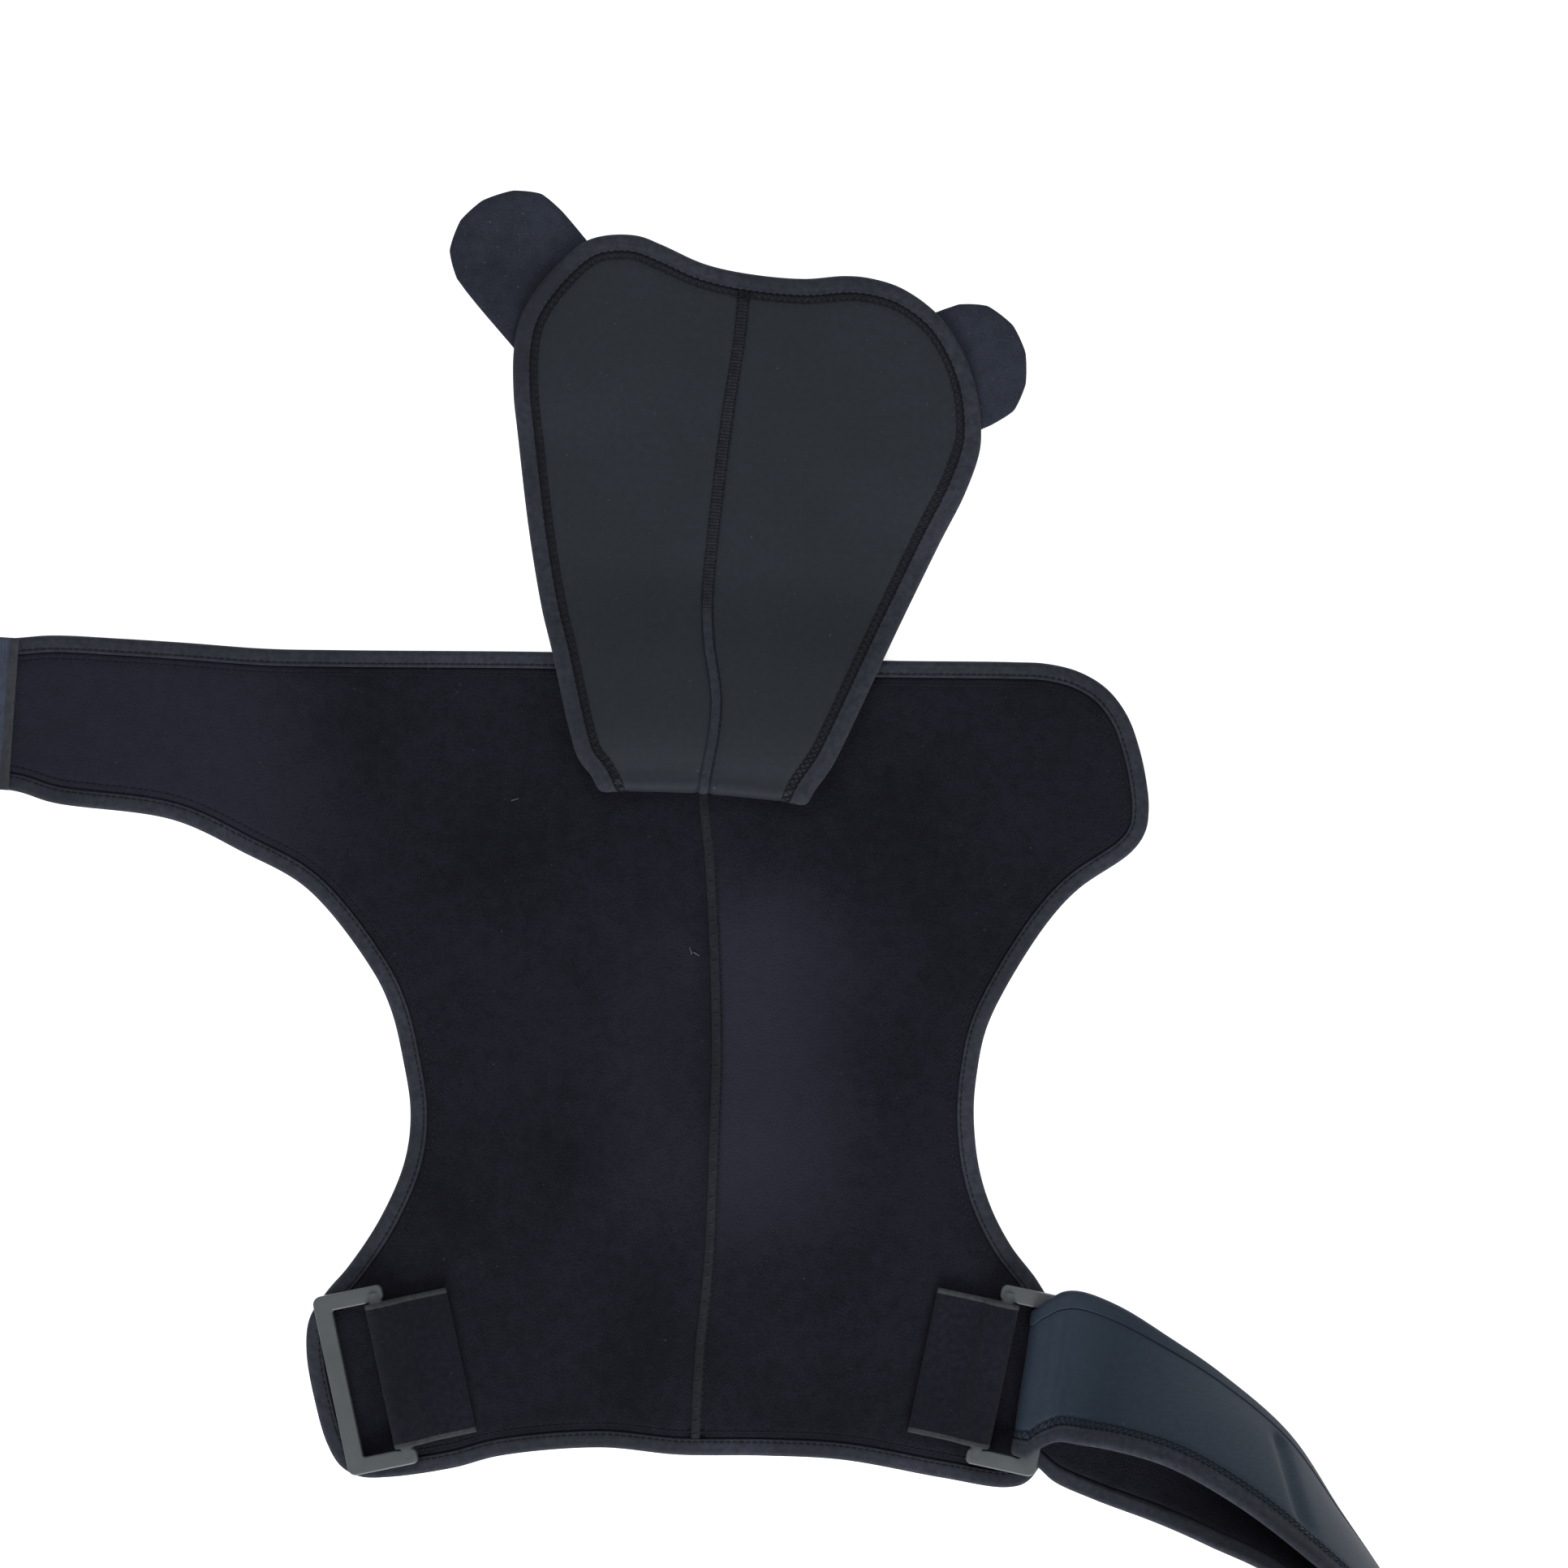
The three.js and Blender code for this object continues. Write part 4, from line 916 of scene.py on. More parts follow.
# Each row is how far across, as a share of the flap's width, and how far along its length.
FLAP_OUTLINE = [
    (0.24, 0.013), (0.277, 0.056), (0.305, 0.101), (0.397, 0.263), (0.509, 0.454), (0.563, 0.542),
    (0.594, 0.616), (0.597, 0.66), (0.589, 0.718), (0.563, 0.784), (0.509, 0.855), (0.429, 0.905),
    (0.358, 0.924), (0.305, 0.928), (0.216, 0.923), (0.091, 0.933), (0.003, 0.95), (-0.086, 0.983),
    (-0.138, 0.999), (-0.21, 0.999), (-0.258, 0.985), (-0.343, 0.917), (-0.387, 0.858),
    (-0.403, 0.8), (-0.404, 0.718), (-0.396, 0.652), (-0.37, 0.468), (-0.343, 0.336),
    (-0.321, 0.263), (-0.281, 0.115), (-0.264, 0.071), (-0.236, 0.04),
]
FLAP_SEAM = [
    (-0.005, -0.1), (0.0, 0.0), (0.025, 0.12), (0.03, 0.18), (0.014, 0.28), (0.011, 0.35),
    (0.03, 0.52), (0.056, 0.69), (0.083, 0.84), (0.1, 1.05),
]
# How far from the fold, as a share of the roll, and how high, as a share of the arch.
FLAP_PROFILE = [
    (0, 0.76), (0.12, 0.88), (0.28, 1.0), (0.44, 0.9), (0.62, 0.66), (0.8, 0.26), (0.92, 0.05), (1, 0),
]
TABS = [
    {"name": "tab_left", "across": -0.333, "along": 0.903, "angle": math.radians(129.5), "tucked": 0.25},
    {"name": "tab_right", "across": 0.555, "along": 0.761, "angle": math.radians(22), "tucked": 0.55},
]


def on_flap(across, along):
    return FLAP_ROOT[0] + across * FLAP_WIDTH, FLAP_ROOT[1] + along * FLAP_LENGTH


def fold_line(x):
    dip = np.clip((x - FLAP_ROOT[0]) / FLAP_WIDTH + FOLD_DIP_FROM, 0, 1)
    return FLAP_ROOT[1] + FLAP_LENGTH * (FOLD_RISE - FOLD_DIP * dip * dip)


def tab_lift(x, y):
    """How much a tab under the flap lifts it."""
    lifts = []
    for tab in TABS:
        root_x, root_y = on_flap(tab["across"], tab["along"])
        under = TAB_LENGTH * tab["tucked"]
        away = np.hypot(
            x - root_x + under / 2 * math.cos(tab["angle"]),
            y - root_y + under / 2 * math.sin(tab["angle"]),
        )
        reach = math.hypot(TAB_WIDTH, under) / 2 + TAPE_WIDTH
        lifts.append(1 - ease(away, reach, reach + TAB_LIFT_SPREAD))
    return (TAB_THICKNESS + GAP) * np.maximum(*lifts)


# %% From the flat cut to the folded flap
FOLD_OUTER = NEOPRENE + FLAP_BEND
FOLD_SEAT = NEOPRENE + GAP
FOLD_RUN = math.pi * (FLAP_BEND + NEOPRENE / 2)
SETTLE = 12 * MM


def fold_start(x):
    """Where along the table the upper layer leaves the fold."""
    return fold_line(x) + FOLD_OUTER


def place_on_flap(x, along, height):
    """A place of the flat cut and its height in the sheet; along is 0 at the fold's upper end."""
    start = fold_start(x)
    y = start + along
    arch = eased(FLAP_PROFILE, (y - fold_line(x)) / FLAP_ROLL) * FLAP_ARCH + tab_lift(x, y)
    level = FOLD_SEAT + FOLD_OUTER + FLAP_BEND
    arch = level + (arch - level) * ease(along, 0, SETTLE)
    turn = np.clip(-along / FOLD_RUN, 0, 1) * math.pi
    radius = FLAP_BEND + height
    bent_y = start - radius * np.sin(turn)
    bent_z = FOLD_SEAT + FOLD_OUTER + radius * np.cos(turn)
    lapped_y = start - along - FOLD_RUN
    upper, lapped = along > 0, along < -FOLD_RUN
    z = np.where(upper, arch + height, bent_z)
    return np.column_stack([x, np.where(upper, y, np.where(lapped, lapped_y, bent_y)), z])


flap_curve = smooth([on_flap(*row) for row in FLAP_OUTLINE], PER_ROW)
flap_curve[:, 1] -= fold_start(flap_curve[:, 0])
# Both ends run on slantwise round the fold, which rounds the flap's lower corners.
ROUND_IN = 4.5 * MM
TAPE_RUN_UNDER = FOLD_RUN + 6 * MM
right_end, left_end = flap_curve[0, 0] - ROUND_IN, flap_curve[-1, 0] + ROUND_IN
flap_curve = np.vstack([
    smooth([(right_end, -TAPE_RUN_UNDER), (right_end, -FOLD_RUN), flap_curve[0]], 8)[:-1],
    flap_curve,
    smooth([flap_curve[-1], (left_end, -FOLD_RUN), (left_end, -TAPE_RUN_UNDER)], 8)[1:],
])
flap_edge = walk(flap_curve, FINE_STEP)
flap_seam_line = smooth([on_flap(*row) for row in FLAP_SEAM], PER_ROW)
flap_seam_line[:, 1] -= fold_start(flap_seam_line[:, 0])
print("flap edge", round(len(flap_edge) * FINE_STEP, 3), "m")


# %% The flap's net
def flap_seam_x(along):
    return np.interp(along, *flap_seam_line.T[::-1])


BEND_END = 4 * MM
lap_end = -(FOLD_RUN + FLAP_LAP)
flap_lip = inset_by(flap_edge, LIP_INSET)
flap_lip = np.vstack([(flap_lip[0, 0], lap_end), flap_lip, (flap_lip[-1, 0], lap_end)])
grid = fill(flap_edge, 3.6 * MM)
bend_across = np.arange(flap_lip[-1, 0], flap_lip[0, 0], 3 * MM)
bend = np.meshgrid(bend_across, np.arange(-FOLD_RUN - 1 * MM, BEND_END, 1.0 * MM))
bend = np.column_stack([axis.ravel() for axis in bend])
points = np.vstack([rings_inside(flap_edge), grid[grid[:, 1] > BEND_END], bend])
points = points[within(points, flap_lip)]
points = points[np.abs(points[:, 0] - flap_seam_x(points[:, 1])) > SEAM_GAP + 0.9 * MM]
long_seam = np.vstack([(flap_seam_line[0, 0], lap_end - 5 * MM), flap_seam_line])
sides = np.vstack(both_sides(walk(long_seam, RING_STEP), SEAM_GAP + 1.6 * MM))
points = np.vstack([points, sides[within(sides, flap_lip)]])
flap_plan, flap_net = net(flap_lip[::2], points, both_sides(walk(long_seam, 2 * MM), SEAM_GAP))
print("flap net:", len(flap_net), "triangles")

# %% The two halves of the flap
FLAP_EDGE_PROFILE = [
    (0, 2.4, 1.4), (6.4, 2.45, 1.35), (7.2, 3.05, 0.4), (8.2, 3.4, 0.0), (9.6, 3.05, 0.0),
    (10.8, 3.42, 0.0), (12.5, 3.5, 0.0),
]
flap_at, flap_top, flap_bottom = np.array(FLAP_EDGE_PROFILE).T * MM
flap_faces = sheet_faces(
    place_on_flap, depth_in(flap_plan, walk(flap_edge, RING_STEP)), (flap_at, flap_top, flap_bottom),
    flap_seam_x, 0.7 * MM, 2.6 * MM,
    lambda x, along: 0.3 * MM * ripple(x, along, 70 * MM, 11) * ease(along, 5 * MM, 20 * MM),
)
cut_halves(
    "flap", flap_plan, flap_net, flap_seam_x, flap_faces, ["jersey", "loop_pile"],
)
bind("flap_tape", flap_edge, place_on_flap, "flap_binding")

# %% The flap's seam
path = walk(long_seam, STITCH / 2)
path = path[within(path, flap_lip)]
pinched = np.arange(len(path)) % 2
inset = distance_to(path, walk(flap_edge, RING_STEP))
top = np.interp(inset, flap_at, flap_top) - 0.2 * MM * ease(inset, TAPE_WIDTH, 9 * MM)
low = np.interp(inset, flap_at, flap_bottom)
crown = (0.4 + 0.5 * ease(inset, 8 * MM, 12 * MM) * ease(-path[:, 1], -75 * MM, -60 * MM)) * MM
crown -= 0.15 * MM * pinched
wide = COVERS - PINCH * pinched
ridge_along("flap_seam_ridge", path, place_on_flap, wide, top - 0.4 * MM, low, crown, "tape", "flap_seam")

# Above this place threads cross the ridge, and the left row of stitches starts.
CROSSED_FROM = 68 * MM
shown = walk(flap_seam_line[flap_seam_line[:, 1] > -3 * MM], STITCH / 2)
shown = inside_tape(shown, flap_lip, flap_edge)
left, right = both_sides(shown, COVERS + 0.1 * MM)
high = shown[:, 1] > CROSSED_FROM
valley = NEOPRENE - 0.65 * MM
threads = [seam_rows(place_on_flap, [row], valley, crossed=False) for row in (left[high], right)]
crossing = [place_on_flap(*row[high].T, np.full(high.sum(), NEOPRENE - 0.5 * MM)) for row in (left, right)]
threads.append((*crossing, np.tile(UP, (high.sum(), 1))))
threads = [np.vstack(group) for group in zip(*threads)]
sew("flap_seam_stitches", threads, "thread", radius=0.24 * MM, lift=0.5 * MM)

# %% The flap's stitches
# Two rows with threads that cross between them, beside the tape.
EDGE_INSETS = (6.5 * MM, 9.7 * MM)
ROW_HEIGHT = 3.25 * MM
rows = [inset_by(flap_edge, inset) for inset in EDGE_INSETS]
sew("flap_edge_stitches", seam_rows(place_on_flap, rows, ROW_HEIGHT), "thread")

# %% [markdown]
# ## The tabs
# The tabs are single layers of felted loop, cut with shears, so their rims have flat facets and no binding.
# They lie on the table under the flap's corners. Each rim goes halfway from its facets to the curve through
# their corners, because the shears cut the cloth in short turns that the felt then softens.

# %% The two tabs
# How far along the tab, as a share of its length, and how far across, as a share of its width.
TAB_OUTLINE = [
    (0, -0.5), (0.6, -0.5), (0.78, -0.46), (0.92, -0.3), (1.0, -0.06),
    (0.99, 0.18), (0.88, 0.4), (0.7, 0.5), (0, 0.5),
]
TAB_STEP = 2.2 * MM
TAB_ROUND = 6


def tab_plan(tab):
    """The tab's rim in plan, its facets half rounded."""
    root = np.array(on_flap(tab["across"], tab["along"]))
    ahead = np.array([math.cos(tab["angle"]), math.sin(tab["angle"])])
    aside = np.array([-ahead[1], ahead[0]])
    corners = np.array([
        root + ahead * (along - tab["tucked"]) * TAB_LENGTH + aside * across * TAB_WIDTH
        for along, across in TAB_OUTLINE
    ])
    share = np.arange(TAB_ROUND)[:, None] / TAB_ROUND
    facets = np.vstack([start + (end - start) * share for start, end in zip(corners, corners[1:])])
    return np.vstack([(facets + smooth(corners, TAB_ROUND)[:-1]) / 2, corners[-1:]])


def closed(path):
    return np.vstack([path, path[:1]])


for seed, tab in enumerate(TABS):
    corners = tab_plan(tab)
    rim = walk(closed(corners), 1.0 * MM)[:-1]
    inner = lattice(corners.min(0), corners.max(0), TAB_STEP)
    inner = inner[within(inner, corners) & (distance_to(inner, closed(corners)) > 1.6 * MM)]
    plan, triangles = net(rim, np.vstack([inner, inset_by(closed(rim), 0.8 * MM)[:-1]]))
    depth = depth_in(plan, closed(rim))

    def felt_top(x, y):
        rounded = 0.5 * MM * (1 - ease(depth(x, y), 0, 1.2 * MM))
        return on_table(x, y, TAB_THICKNESS - rounded + 0.12 * MM * ripple(x, y, 25 * MM, seed))

    points, faces, _ = slab(plan, triangles, lambda x, y: on_table(x, y, 0.0), felt_top)
    piece = make_piece(tab["name"] + "_felt", points, faces, ["felt"], tab["name"])
    area = cut_area(plan, triangles)

# %% [markdown]
# ## Webbing loops
# Each ring hangs in a loop of webbing: a band that lies on the wing, turns round the ring's pin and comes
# back on itself. The band is bent along a line in its own side view, thickened evenly, and carried across
# its width. At its two long edges the weave closes in a paler, thinner selvedge, and two rows of stitches
# hold its leaves together at the sewn end.

# %% Sizes of the rings and loops
RING_LENGTH = 73 * MM
RING_WIDTH = 28 * MM
RING_BAR = 7 * MM
RING_THICKNESS = 4 * MM
PIN_RADIUS = 2.8 * MM
PIN_CLEARANCE = 0.4 * MM
RING_SPLAY = math.radians(12)
WEBBING_THICKNESS = 1.6 * MM
WEBBING_LENGTH = 28 * MM
STRAP_CLEARANCE = 0.5 * MM
LOOP_RADIUS = PIN_RADIUS + PIN_CLEARANCE
SLOT_LENGTH = RING_LENGTH - 2 * RING_BAR
STRAP_WIDTH = SLOT_LENGTH - 2 * STRAP_CLEARANCE
PIN_TO_BAR = RING_WIDTH - RING_BAR
PIN_HEIGHT = NEOPRENE + GAP + WEBBING_THICKNESS + LOOP_RADIUS
PIN_ACROSS = 1.065 * HALF_WAIST
PIN_UP = height_of(-0.761)
STRAP_SEAT = TAPE_TOP + 2 * GAP + NEOPRENE
FREE_TILT = math.asin((PIN_HEIGHT - TAPE_TOP - GAP - RING_THICKNESS / 2) / (RING_WIDTH - RING_BAR / 2))
THREADED_TILT = -math.asin((STRAP_SEAT + GAP + RING_THICKNESS / 2 - PIN_HEIGHT) / (PIN_TO_BAR - RING_BAR / 2))


def at_ring(side, tilt=0.0):
    """The matrix of a ring's own frame: x out from the body, y along the pin, z up."""
    turn = -RING_SPLAY if side > 0 else math.pi + RING_SPLAY
    here = Matrix.Translation((side * PIN_ACROSS, PIN_UP, PIN_HEIGHT))
    return here @ Matrix.Rotation(turn, 4, "Z") @ Matrix.Rotation(tilt, 4, "Y")


def moved(points, matrix):
    m = np.array(matrix)
    return np.asarray(points) @ m[:3, :3].T + m[:3, 3]


# %% The loops
def loop_line():
    """The middle line of the band in side view, from the sewn end under the pin and back over it."""
    half = WEBBING_THICKNESS / 2
    radius = LOOP_RADIUS + half
    leaf_end = [(WEBBING_LENGTH - i * 2 * MM, half) for i in range(13)]
    turn = np.linspace(-math.pi / 2, -math.pi * 1.68, 20)
    round_pin = [(radius * math.cos(a), radius * math.sin(a) + radius + half) for a in turn]
    meet = [(6.6 * MM, 6.3 * MM), (9.2 * MM, 3.6 * MM), (12.5 * MM, half * 3.1), (16 * MM, half * 3)]
    top_leaf = [(x * MM, half * 3) for x in (18, 20, 22, 24, 26, 28)]
    return np.array([*leaf_end, *round_pin[:-1], *smooth([round_pin[-1], *meet], 5), *top_leaf])


def stations(half, rim, inside):
    """Places across a band, each with a value: rim rows, the same inside, and the rim mirrored."""
    left = [(-half + inset * MM, value) for inset, value in rim]
    right = [(half - inset * MM, value) for inset, value in rim[::-1]]
    return [*left, *inside, *right]


SEWN_ROWS = (2.2 * MM, 3.8 * MM)
SELVEDGE = [(0.0, 0.45), (0.3, 0.8), (0.7, 1.0), (1.6, 0.98), (2.0, 0.9)]
EDGE_BANDS = len(SELVEDGE) - 1
half_strap = STRAP_WIDTH / 2
centre_line = loop_line()
inner = [(across, 0.95) for across in np.arange(-half_strap + 3.2 * MM, half_strap - 3 * MM, 1.2 * MM)]
band = []
for across, share in stations(half_strap, SELVEDGE, inner):
    thickness = (WEBBING_THICKNESS - 0.06 * MM) * share
    section = np.vstack([inset_by(centre_line, -thickness / 2), inset_by(centre_line, thickness / 2)[::-1]])
    height = section[:, 1] - LOOP_RADIUS - WEBBING_THICKNESS
    band.append(np.column_stack([-section[:, 0], np.full(len(section), across), height]))
strips = np.arange(len(band) - 1)
edge_strips = (strips < EDGE_BANDS) | (strips >= len(band) - 1 - EDGE_BANDS)
finish_of = [*np.repeat(edge_strips, len(band[0])).astype(int), 1, 1]
band_length = float(run_along(centre_line)[-1])
across = np.arange(-half_strap + 3 * MM, half_strap - 3 * MM, STITCH)
flat_row = on_table(0 * across, across, -LOOP_RADIUS)
sewn_end = [flat_row + (inset - WEBBING_LENGTH, 0, 0) for inset in SEWN_ROWS]
for word, side in (("webbing_left", -1), ("webbing_right", 1)):
    here = at_ring(side)
    piece = carry(word + "_band", moved(band, here), ["webbing", "selvedge"], word, finish_of)
    rows = [moved(row, here) for row in sewn_end]
    starts = np.vstack([row[:-1] for row in rows])
    ends = np.vstack([row[1:] * 0.9 + row[:-1] * 0.1 for row in rows])
    sew(word + "_stitches", (starts, ends, UP), "webbing")

# %% [markdown]
# ## The rings
# A ring is one moulding: a flat bar, two arms and a round pin that the webbing holds.
# Its frame is cut from an outline, raised to its thickness and bevelled all round as a mould's rounded
# corners leave it, and the pin is joined to it as one solid. The free ring rides on its own body and swings.

# %% Two moulded rings
SAME = 1e-7


def ring_outline():
    """The frame seen from above: the wide bar at the far side, two arms and their round ends at the pin."""
    half, inner = RING_LENGTH / 2 - 0.6 * MM, SLOT_LENGTH / 2
    back, front = -RING_BAR / 2, RING_WIDTH - RING_BAR / 2
    outer_r, inner_r, tip_r = 3.2 * MM, 1.0 * MM, 2.2 * MM
    bar, slot, tip = front - outer_r, PIN_TO_BAR - RING_BAR / 2 - inner_r, back + tip_r
    turns = [
        (bar, -half + outer_r, outer_r, -90, 0), (bar, half - outer_r, outer_r, 0, 90),
        (tip, half - tip_r, tip_r, 90, 180), (tip, inner + tip_r, tip_r, 180, 270),
        (slot, inner - inner_r, inner_r, 90, 0), (slot, -inner + inner_r, inner_r, 0, -90),
        (tip, -inner - tip_r, tip_r, 90, 180), (tip, -half + tip_r, tip_r, 180, 270),
    ]
    outline = []
    for x, y, radius, start, end in turns:
        for a in np.radians(np.linspace(start, end, 7)):
            outline.append((x + radius * math.cos(a), y + radius * math.sin(a)))
    return outline


def finish_work(name, work):
    """An object from finished mesh work."""
    mesh = bpy.data.meshes.new(name)
    work.to_mesh(mesh)
    work.free()
    return add_object(name, mesh)


def make_ring(name, side, tilt, body, node):
    """A ring with its pin, made at the origin and then set in its place."""
    work = bmesh.new()
    half = RING_THICKNESS / 2
    face = work.faces.new([work.verts.new((x, y, -half)) for x, y in ring_outline()])
    raised = bmesh.ops.extrude_face_region(work, geom=[face])["geom"]
    top = [v for v in raised if isinstance(v, bmesh.types.BMVert)]
    bmesh.ops.translate(work, vec=(0, 0, RING_THICKNESS), verts=top)
    bmesh.ops.recalc_face_normals(work, faces=work.faces)
    rims = []
    for edge in work.edges:
        first, second = (v.co.z for v in edge.verts)
        if abs(first - second) < SAME and abs(abs(first) - half) < SAME and len(edge.link_faces) == 2:
            rims.append(edge)
    bevel = {"offset": 0.75 * MM, "segments": 3, "profile": 0.6, "affect": "EDGES", "clamp_overlap": True}
    bmesh.ops.bevel(work, geom=rims, **bevel)
    ring = finish_work(name, work)
    work = bmesh.new()
    bmesh.ops.create_cone(
        work, cap_ends=True, segments=32, radius1=PIN_RADIUS, radius2=PIN_RADIUS,
        depth=SLOT_LENGTH + RING_BAR, matrix=Matrix.Rotation(math.pi / 2, 4, "X"),
    )
    pin = finish_work(name + "_pin", work)
    join = ring.modifiers.new("join", "BOOLEAN")
    join.operation, join.solver, join.object = "UNION", "EXACT", pin
    bpy.context.view_layer.update()
    joined = bpy.data.meshes.new_from_object(ring.evaluated_get(bpy.context.evaluated_depsgraph_get()))
    ring.modifiers.clear()
    ring.data = joined
    bpy.data.objects.remove(pin)
    joined.materials.clear()
    joined.materials.append(FINISHES["plastic"])
    joined.transform(at_ring(side, tilt))
    joined.shade_smooth()
    joined.set_sharp_from_angle(angle=math.radians(40))
    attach(ring, body)
    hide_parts(node)
    print(name, len(joined.polygons), "faces")


make_ring("ring_left_moulding", -1, FREE_TILT, "free_ring", "ring_left")
make_ring("ring_right_moulding", 1, THREADED_TILT, "brace", "ring_right")

# %% [markdown]
# ## The strap
# The strap is a band of the same laminate, bound on both long edges, that goes through the right ring's
# slot. It comes in under the ring, turns round the wide bar and goes back over itself, and away from the
# ring the doubled band twists until it stands on its north edge. The rows give both edges' places at some
# stations, in shares of the strap's width from the slot's middle, with the height that the middle bows.

# %% The strap's path
STRAP_SKEW = 3.5 * MM
STRAP_OVERHANG = 6 * MM
CLEARS_ARM = math.pi * 0.6
# North edge x, y and z, south edge x, y and z, and the bow.
STRAP_LOWER = [
    (2.71, -1.97, 0.03, 2.47, -2.21, 0.93, 0),
    (2.29, -1.33, 0.03, 2.12, -1.69, 0.93, 0),
    (1.93, -0.74, 0.035, 1.74, -1.29, 0.8, 0),
    (1.57, -0.29, 0.035, 1.28, -1.09, 0.5, 0),
    (1.22, -0.02, 0.035, 0.91, -0.955, 0.18, 0),
    (0.84, 0.14, 0.04, 0.52, -0.82, 0.045, 0),
    (0.47, 0.27, 0.09, 0.24, -0.69, 0.1, 0),
    (0.36, 0.36, 0.098, 0.15, -0.61, 0.1, 0),
]
STRAP_UPPER = [
    (0.3, 0.612, 0.27, 0.14, -0.45, 0.285, 0),
    (0.42, 0.61, 0.225, 0.25, -0.405, 0.3, 0),
    (0.69, 0.5, 0.13, 0.4, -0.415, 0.4, 0.02),
    (1.03, 0.28, 0.07, 0.64, -0.44, 0.59, 0.05),
    (1.39, 0.02, 0.045, 1.0, -0.54, 0.7, 0.07),
    (1.83, -0.38, 0.04, 1.45, -0.785, 0.79, 0.08),
    (2.16, -0.9, 0.035, 1.88, -1.1, 0.9, 0.09),
    (2.42, -1.3, 0.035, 2.23, -1.41, 0.93, 0.08),
    (2.88, -2.02, 0.03, 2.7, -2.14, 0.93, 0.06),
]
STRAP_OUT = np.array([math.cos(RING_SPLAY), -math.sin(RING_SPLAY), 0])
STRAP_NORTH = np.array([math.sin(RING_SPLAY), math.cos(RING_SPLAY), 0])


def round_the_bar():
    """Stations in the slot, from below the wide bar to above it, where the strap spreads over an arm."""
    tipped = RING_BAR / 2 * math.sin(-THREADED_TILT)
    radius = (RING_THICKNESS + NEOPRENE) / 2 + PIN_CLEARANCE + tipped
    corner = math.sqrt((radius - NEOPRENE / 2) ** 2 - (RING_THICKNESS / 2) ** 2)
    reach = PIN_TO_BAR - RING_BAR / 2 + corner + GAP
    centre = np.array([PIN_ACROSS, PIN_UP, PIN_HEIGHT + PIN_TO_BAR * math.sin(-THREADED_TILT)])
    rows = []
    for turn in np.linspace(0, math.pi, 25):
        over = STRAP_OVERHANG * ease(turn, CLEARS_ARM, math.pi)
        edges = []
        for across, skew in ((STRAP_WIDTH / 2 + over, STRAP_SKEW), (-STRAP_WIDTH / 2, 0)):
            out = reach - radius * math.sin(turn) - skew
            edge = centre + STRAP_NORTH * across + STRAP_OUT * out
            edges += [*(edge - (0, 0, radius * math.cos(turn)))]
        rows.append([*edges, 0])
    return np.array(rows)


def strap_layer(rows):
    """Smooth stations through rows that are already in metres."""
    rows = np.asarray(rows)
    return np.hstack([smooth(rows[:, part], PER_ROW) for part in (slice(3), slice(3, 6), slice(6, 7))])


slot_middle = np.array([PIN_ACROSS, PIN_UP, 0]) + STRAP_OUT * PIN_TO_BAR / 2
under, over = [
    [[*(np.array(row[:6]) * STRAP_WIDTH + np.tile(slot_middle, 2)), row[6]] for row in rows]
    for rows in (STRAP_LOWER, STRAP_UPPER)
]
in_slot = round_the_bar()
strap_rows = np.vstack([
    strap_layer([*under, in_slot[0]])[:-1], in_slot, strap_layer([in_slot[-1], *over])[1:],
])
middles = (strap_rows[:, :3] + strap_rows[:, 3:6]) / 2
strap_run = run_along(middles)
crosswise = strap_rows[:, :3] - strap_rows[:, 3:6]
outward = unit(np.cross(unit(np.gradient(middles, axis=0)), crosswise))
strap_frames = np.hstack([middles, crosswise / STRAP_WIDTH, outward, strap_rows[:, 6:] * STRAP_WIDTH])


def place_on_strap(run, across, height):
    """A place along and across the strap, and its height above the pile face."""
    at = read_at(run, strap_run, strap_frames)
    lift = height - NEOPRENE / 2 + at[:, 9] * (1 - (2 * across / STRAP_WIDTH) ** 2)
    return at[:, :3] + at[:, 3:6] * np.reshape(across, (-1, 1)) + at[:, 6:9] * lift[:, None]


print("strap", round(strap_run[-1], 3), "m long")

# %% The strap's cloth, tape and thread
STRAP_STEP = 1.6 * MM
# The crease that the twist presses into the upper layer, in plan.
CREASE = smooth([(230.5, -126.5), (233, -135.8), (236.8, -150), (240.5, -162)], 8) * MM
CREASE_DEPTH = 2.6 * MM
CREASE_REACH = 2.2 * MM
# The north tape is of the strap's own jersey, flush with the cloth, so the cloth rises right beside it.
SOUTH_INSETS = np.array([LIP_INSET / MM, 6.4, 7.2, 8.2, 9.6, 10.8, 12.5, 15.5]) * MM
NORTH_INSETS = np.array([LIP_INSET / MM, 6.62, 6.7, 7.4, 9.6, 12.5, 15.5]) * MM
NORTH_PROFILE = [(0, 2.4), (6.62, 2.45), (6.7, 3.4), (8.2, 3.5)]
across = np.concatenate([
    -half_strap + SOUTH_INSETS, np.arange(-12, 12.1, 1.5) * MM, half_strap - NORTH_INSETS[::-1],
])
inset = half_strap - np.abs(across)
south_top = np.interp(inset, flap_at, flap_top)
top = np.where(across > 0, np.interp(inset, *np.array(NORTH_PROFILE).T * MM), south_top)
bottom = np.interp(inset, flap_at, flap_bottom)
section = np.concatenate([across[::-1], across])
off_edge = ease(np.concatenate([inset[::-1], inset]), 8 * MM, 14 * MM)
strap_steps = np.linspace(0, strap_run[-1], round(strap_run[-1] / STRAP_STEP))
facing = read_at(strap_steps, strap_run, strap_frames[:, 6:9])
rings = []
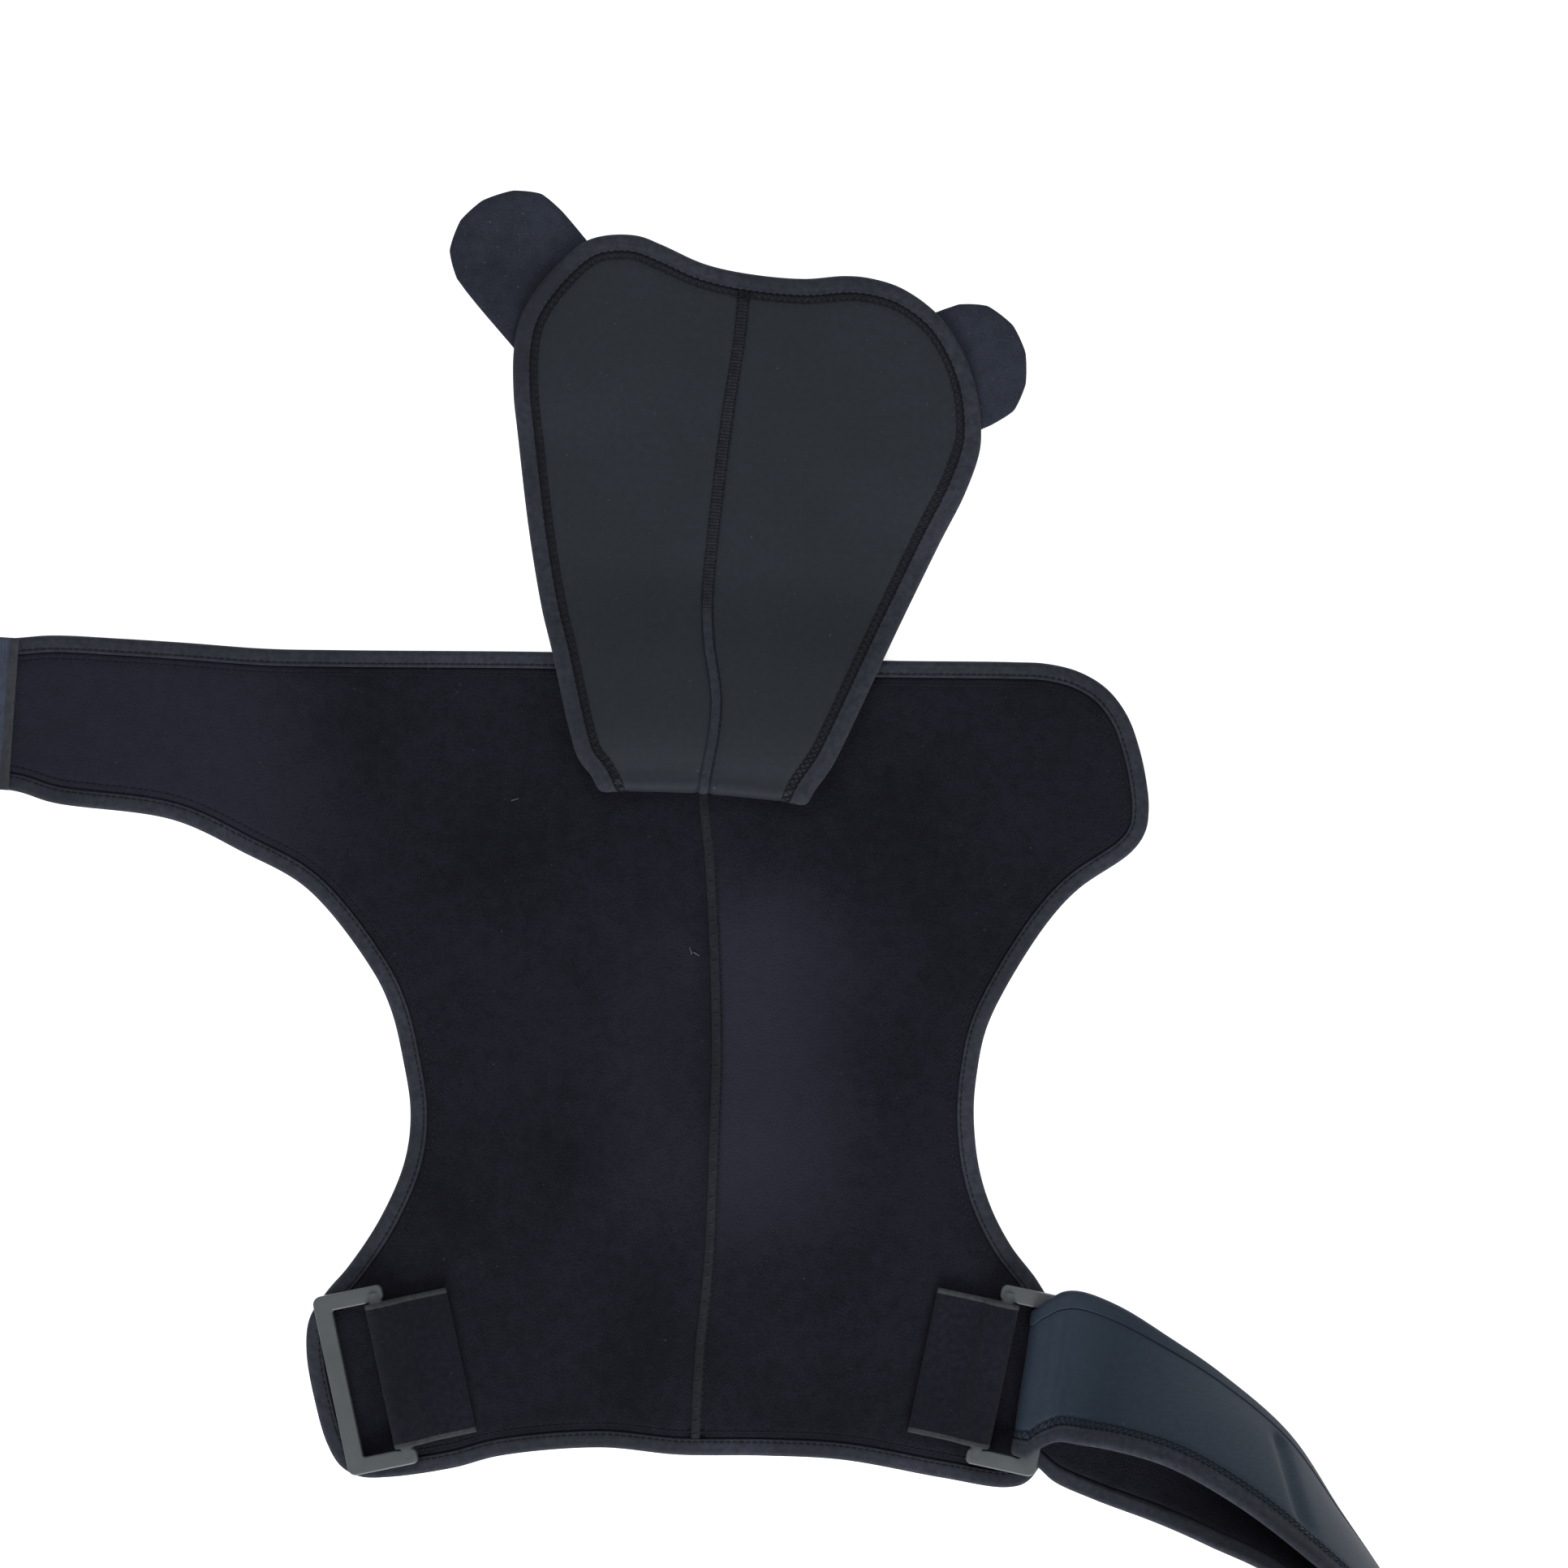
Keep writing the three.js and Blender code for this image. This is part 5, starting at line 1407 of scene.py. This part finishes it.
for run, outward in zip(strap_steps, facing):
    swell = 0.25 * MM * ripple(run, across, 45 * MM, 17) * ease(inset, 12 * MM, 22 * MM)
    height = np.concatenate([(top + swell)[::-1], bottom])
    ring = place_on_strap(np.full(len(section), run), section, height)
    if run > strap_run[-1] / 2:
        near = distance_to(ring[:, :2], CREASE)
        ring = ring - (CREASE_DEPTH * np.exp(-((near / CREASE_REACH) ** 2)) * off_edge)[:, None] * outward
    rings.append(ring)
below = np.arange(len(section)) >= len(across) - 1
finish_of = [*np.tile(below, len(rings) - 1).astype(int), 1, 1]
strap = carry("strap_cloth", rings, ["strap_jersey", "loop_pile"], "strap", finish_of)
north = walk(np.array([(strap_run[-1], half_strap), (0, half_strap)]), FINE_STEP)
south = walk(np.array([(0, -half_strap), (strap_run[-1], -half_strap)]), FINE_STEP)
bind("strap_tape_north", north, place_on_strap, "strap_binding_north", "strap_jersey", (0, 0))
bind("strap_tape_south", south, place_on_strap, "strap_binding_south")
rows = [inset_by(south, inset) for inset in EDGE_INSETS]
sew("strap_edge_stitches", seam_rows(place_on_strap, rows, ROW_HEIGHT), "pale_thread", radius=0.22 * MM)

# %% [markdown]
# ## The elastic
# A wide ribbed elastic is sewn over the end of the long arm and comes down from it to the table. Its ribs
# cross it from edge to edge, one after another along its length. A turned hem, paler, holds its sewn end.

# %% The elastic band
ELASTIC_WIDTH = 60 * MM
ELASTIC_LENGTH = 62 * MM
ELASTIC_THICKNESS = 1.6 * MM
ELASTIC_LAP = 12 * MM
ELASTIC_HEM = 3.2 * MM
ELASTIC_TURN = math.radians(-4)
RIB = 1.3 * MM
ELASTIC_PAST = 1 * MM
ELASTIC_UP = 0.866
RIB_RISE = 0.14 * MM
HEM_STEPS = 8
seat = TAPE_TOP + GAP
skew = ELASTIC_WIDTH / 2 * abs(math.sin(ELASTIC_TURN))
edge = ELASTIC_LAP + skew + ELASTIC_THICKNESS + GAP
drop = edge + TAPE_TOP * 2
hem_run = np.linspace(0, ELASTIC_HEM, HEM_STEPS + 1)
run = np.concatenate([hem_run, np.arange(ELASTIC_HEM + RIB / 8, ELASTIC_LENGTH, RIB / 6)])
levels = [seat, seat, 0, 0]
under = np.interp(run, [0, edge, drop, ELASTIC_LENGTH], levels)
over = np.interp(run, [0, edge + ELASTIC_THICKNESS, drop + ELASTIC_THICKNESS, ELASTIC_LENGTH], levels)
ribs = RIB_RISE * (np.sin((run - ELASTIC_HEM) / RIB * math.tau) - 1) * (run > ELASTIC_HEM)
hem = ELASTIC_THICKNESS * 0.4 * ease(ELASTIC_HEM - run, -0.3 * MM, 0.1 * MM)
hem -= 0.5 * MM * (1 - ease(run, 0, 0.9 * MM))
over += ELASTIC_THICKNESS + ribs + hem
line = np.concatenate([np.column_stack([run, over]), np.column_stack([run, under])[::-3]])
on_top = np.arange(len(line)) < len(run)
RIM = [(0, 0.5), (0.3, 0.2), (0.8, 0), (1.6, 0)]
rings = []
for across, thinner in stations(ELASTIC_WIDTH / 2, RIM, [(v * MM, 0) for v in np.arange(-26, 27, 4)]):
    height = line[:, 1] - thinner * MM * on_top
    rings.append(np.column_stack([-line[:, 0], np.full(len(line), across), height]))
arm_end = Matrix.Translation((-LEFT_ARM_REACH + ELASTIC_PAST, height_of(ELASTIC_UP), 0))
rings = moved(rings, arm_end @ Matrix.Rotation(ELASTIC_TURN, 4, "Z"))
finish_of = [*np.tile(np.arange(len(line)) < HEM_STEPS, len(rings) - 1).astype(int), 0, 0]
elastic = carry("elastic_band", rings, ["ribbing", "selvedge"], "elastic", finish_of)
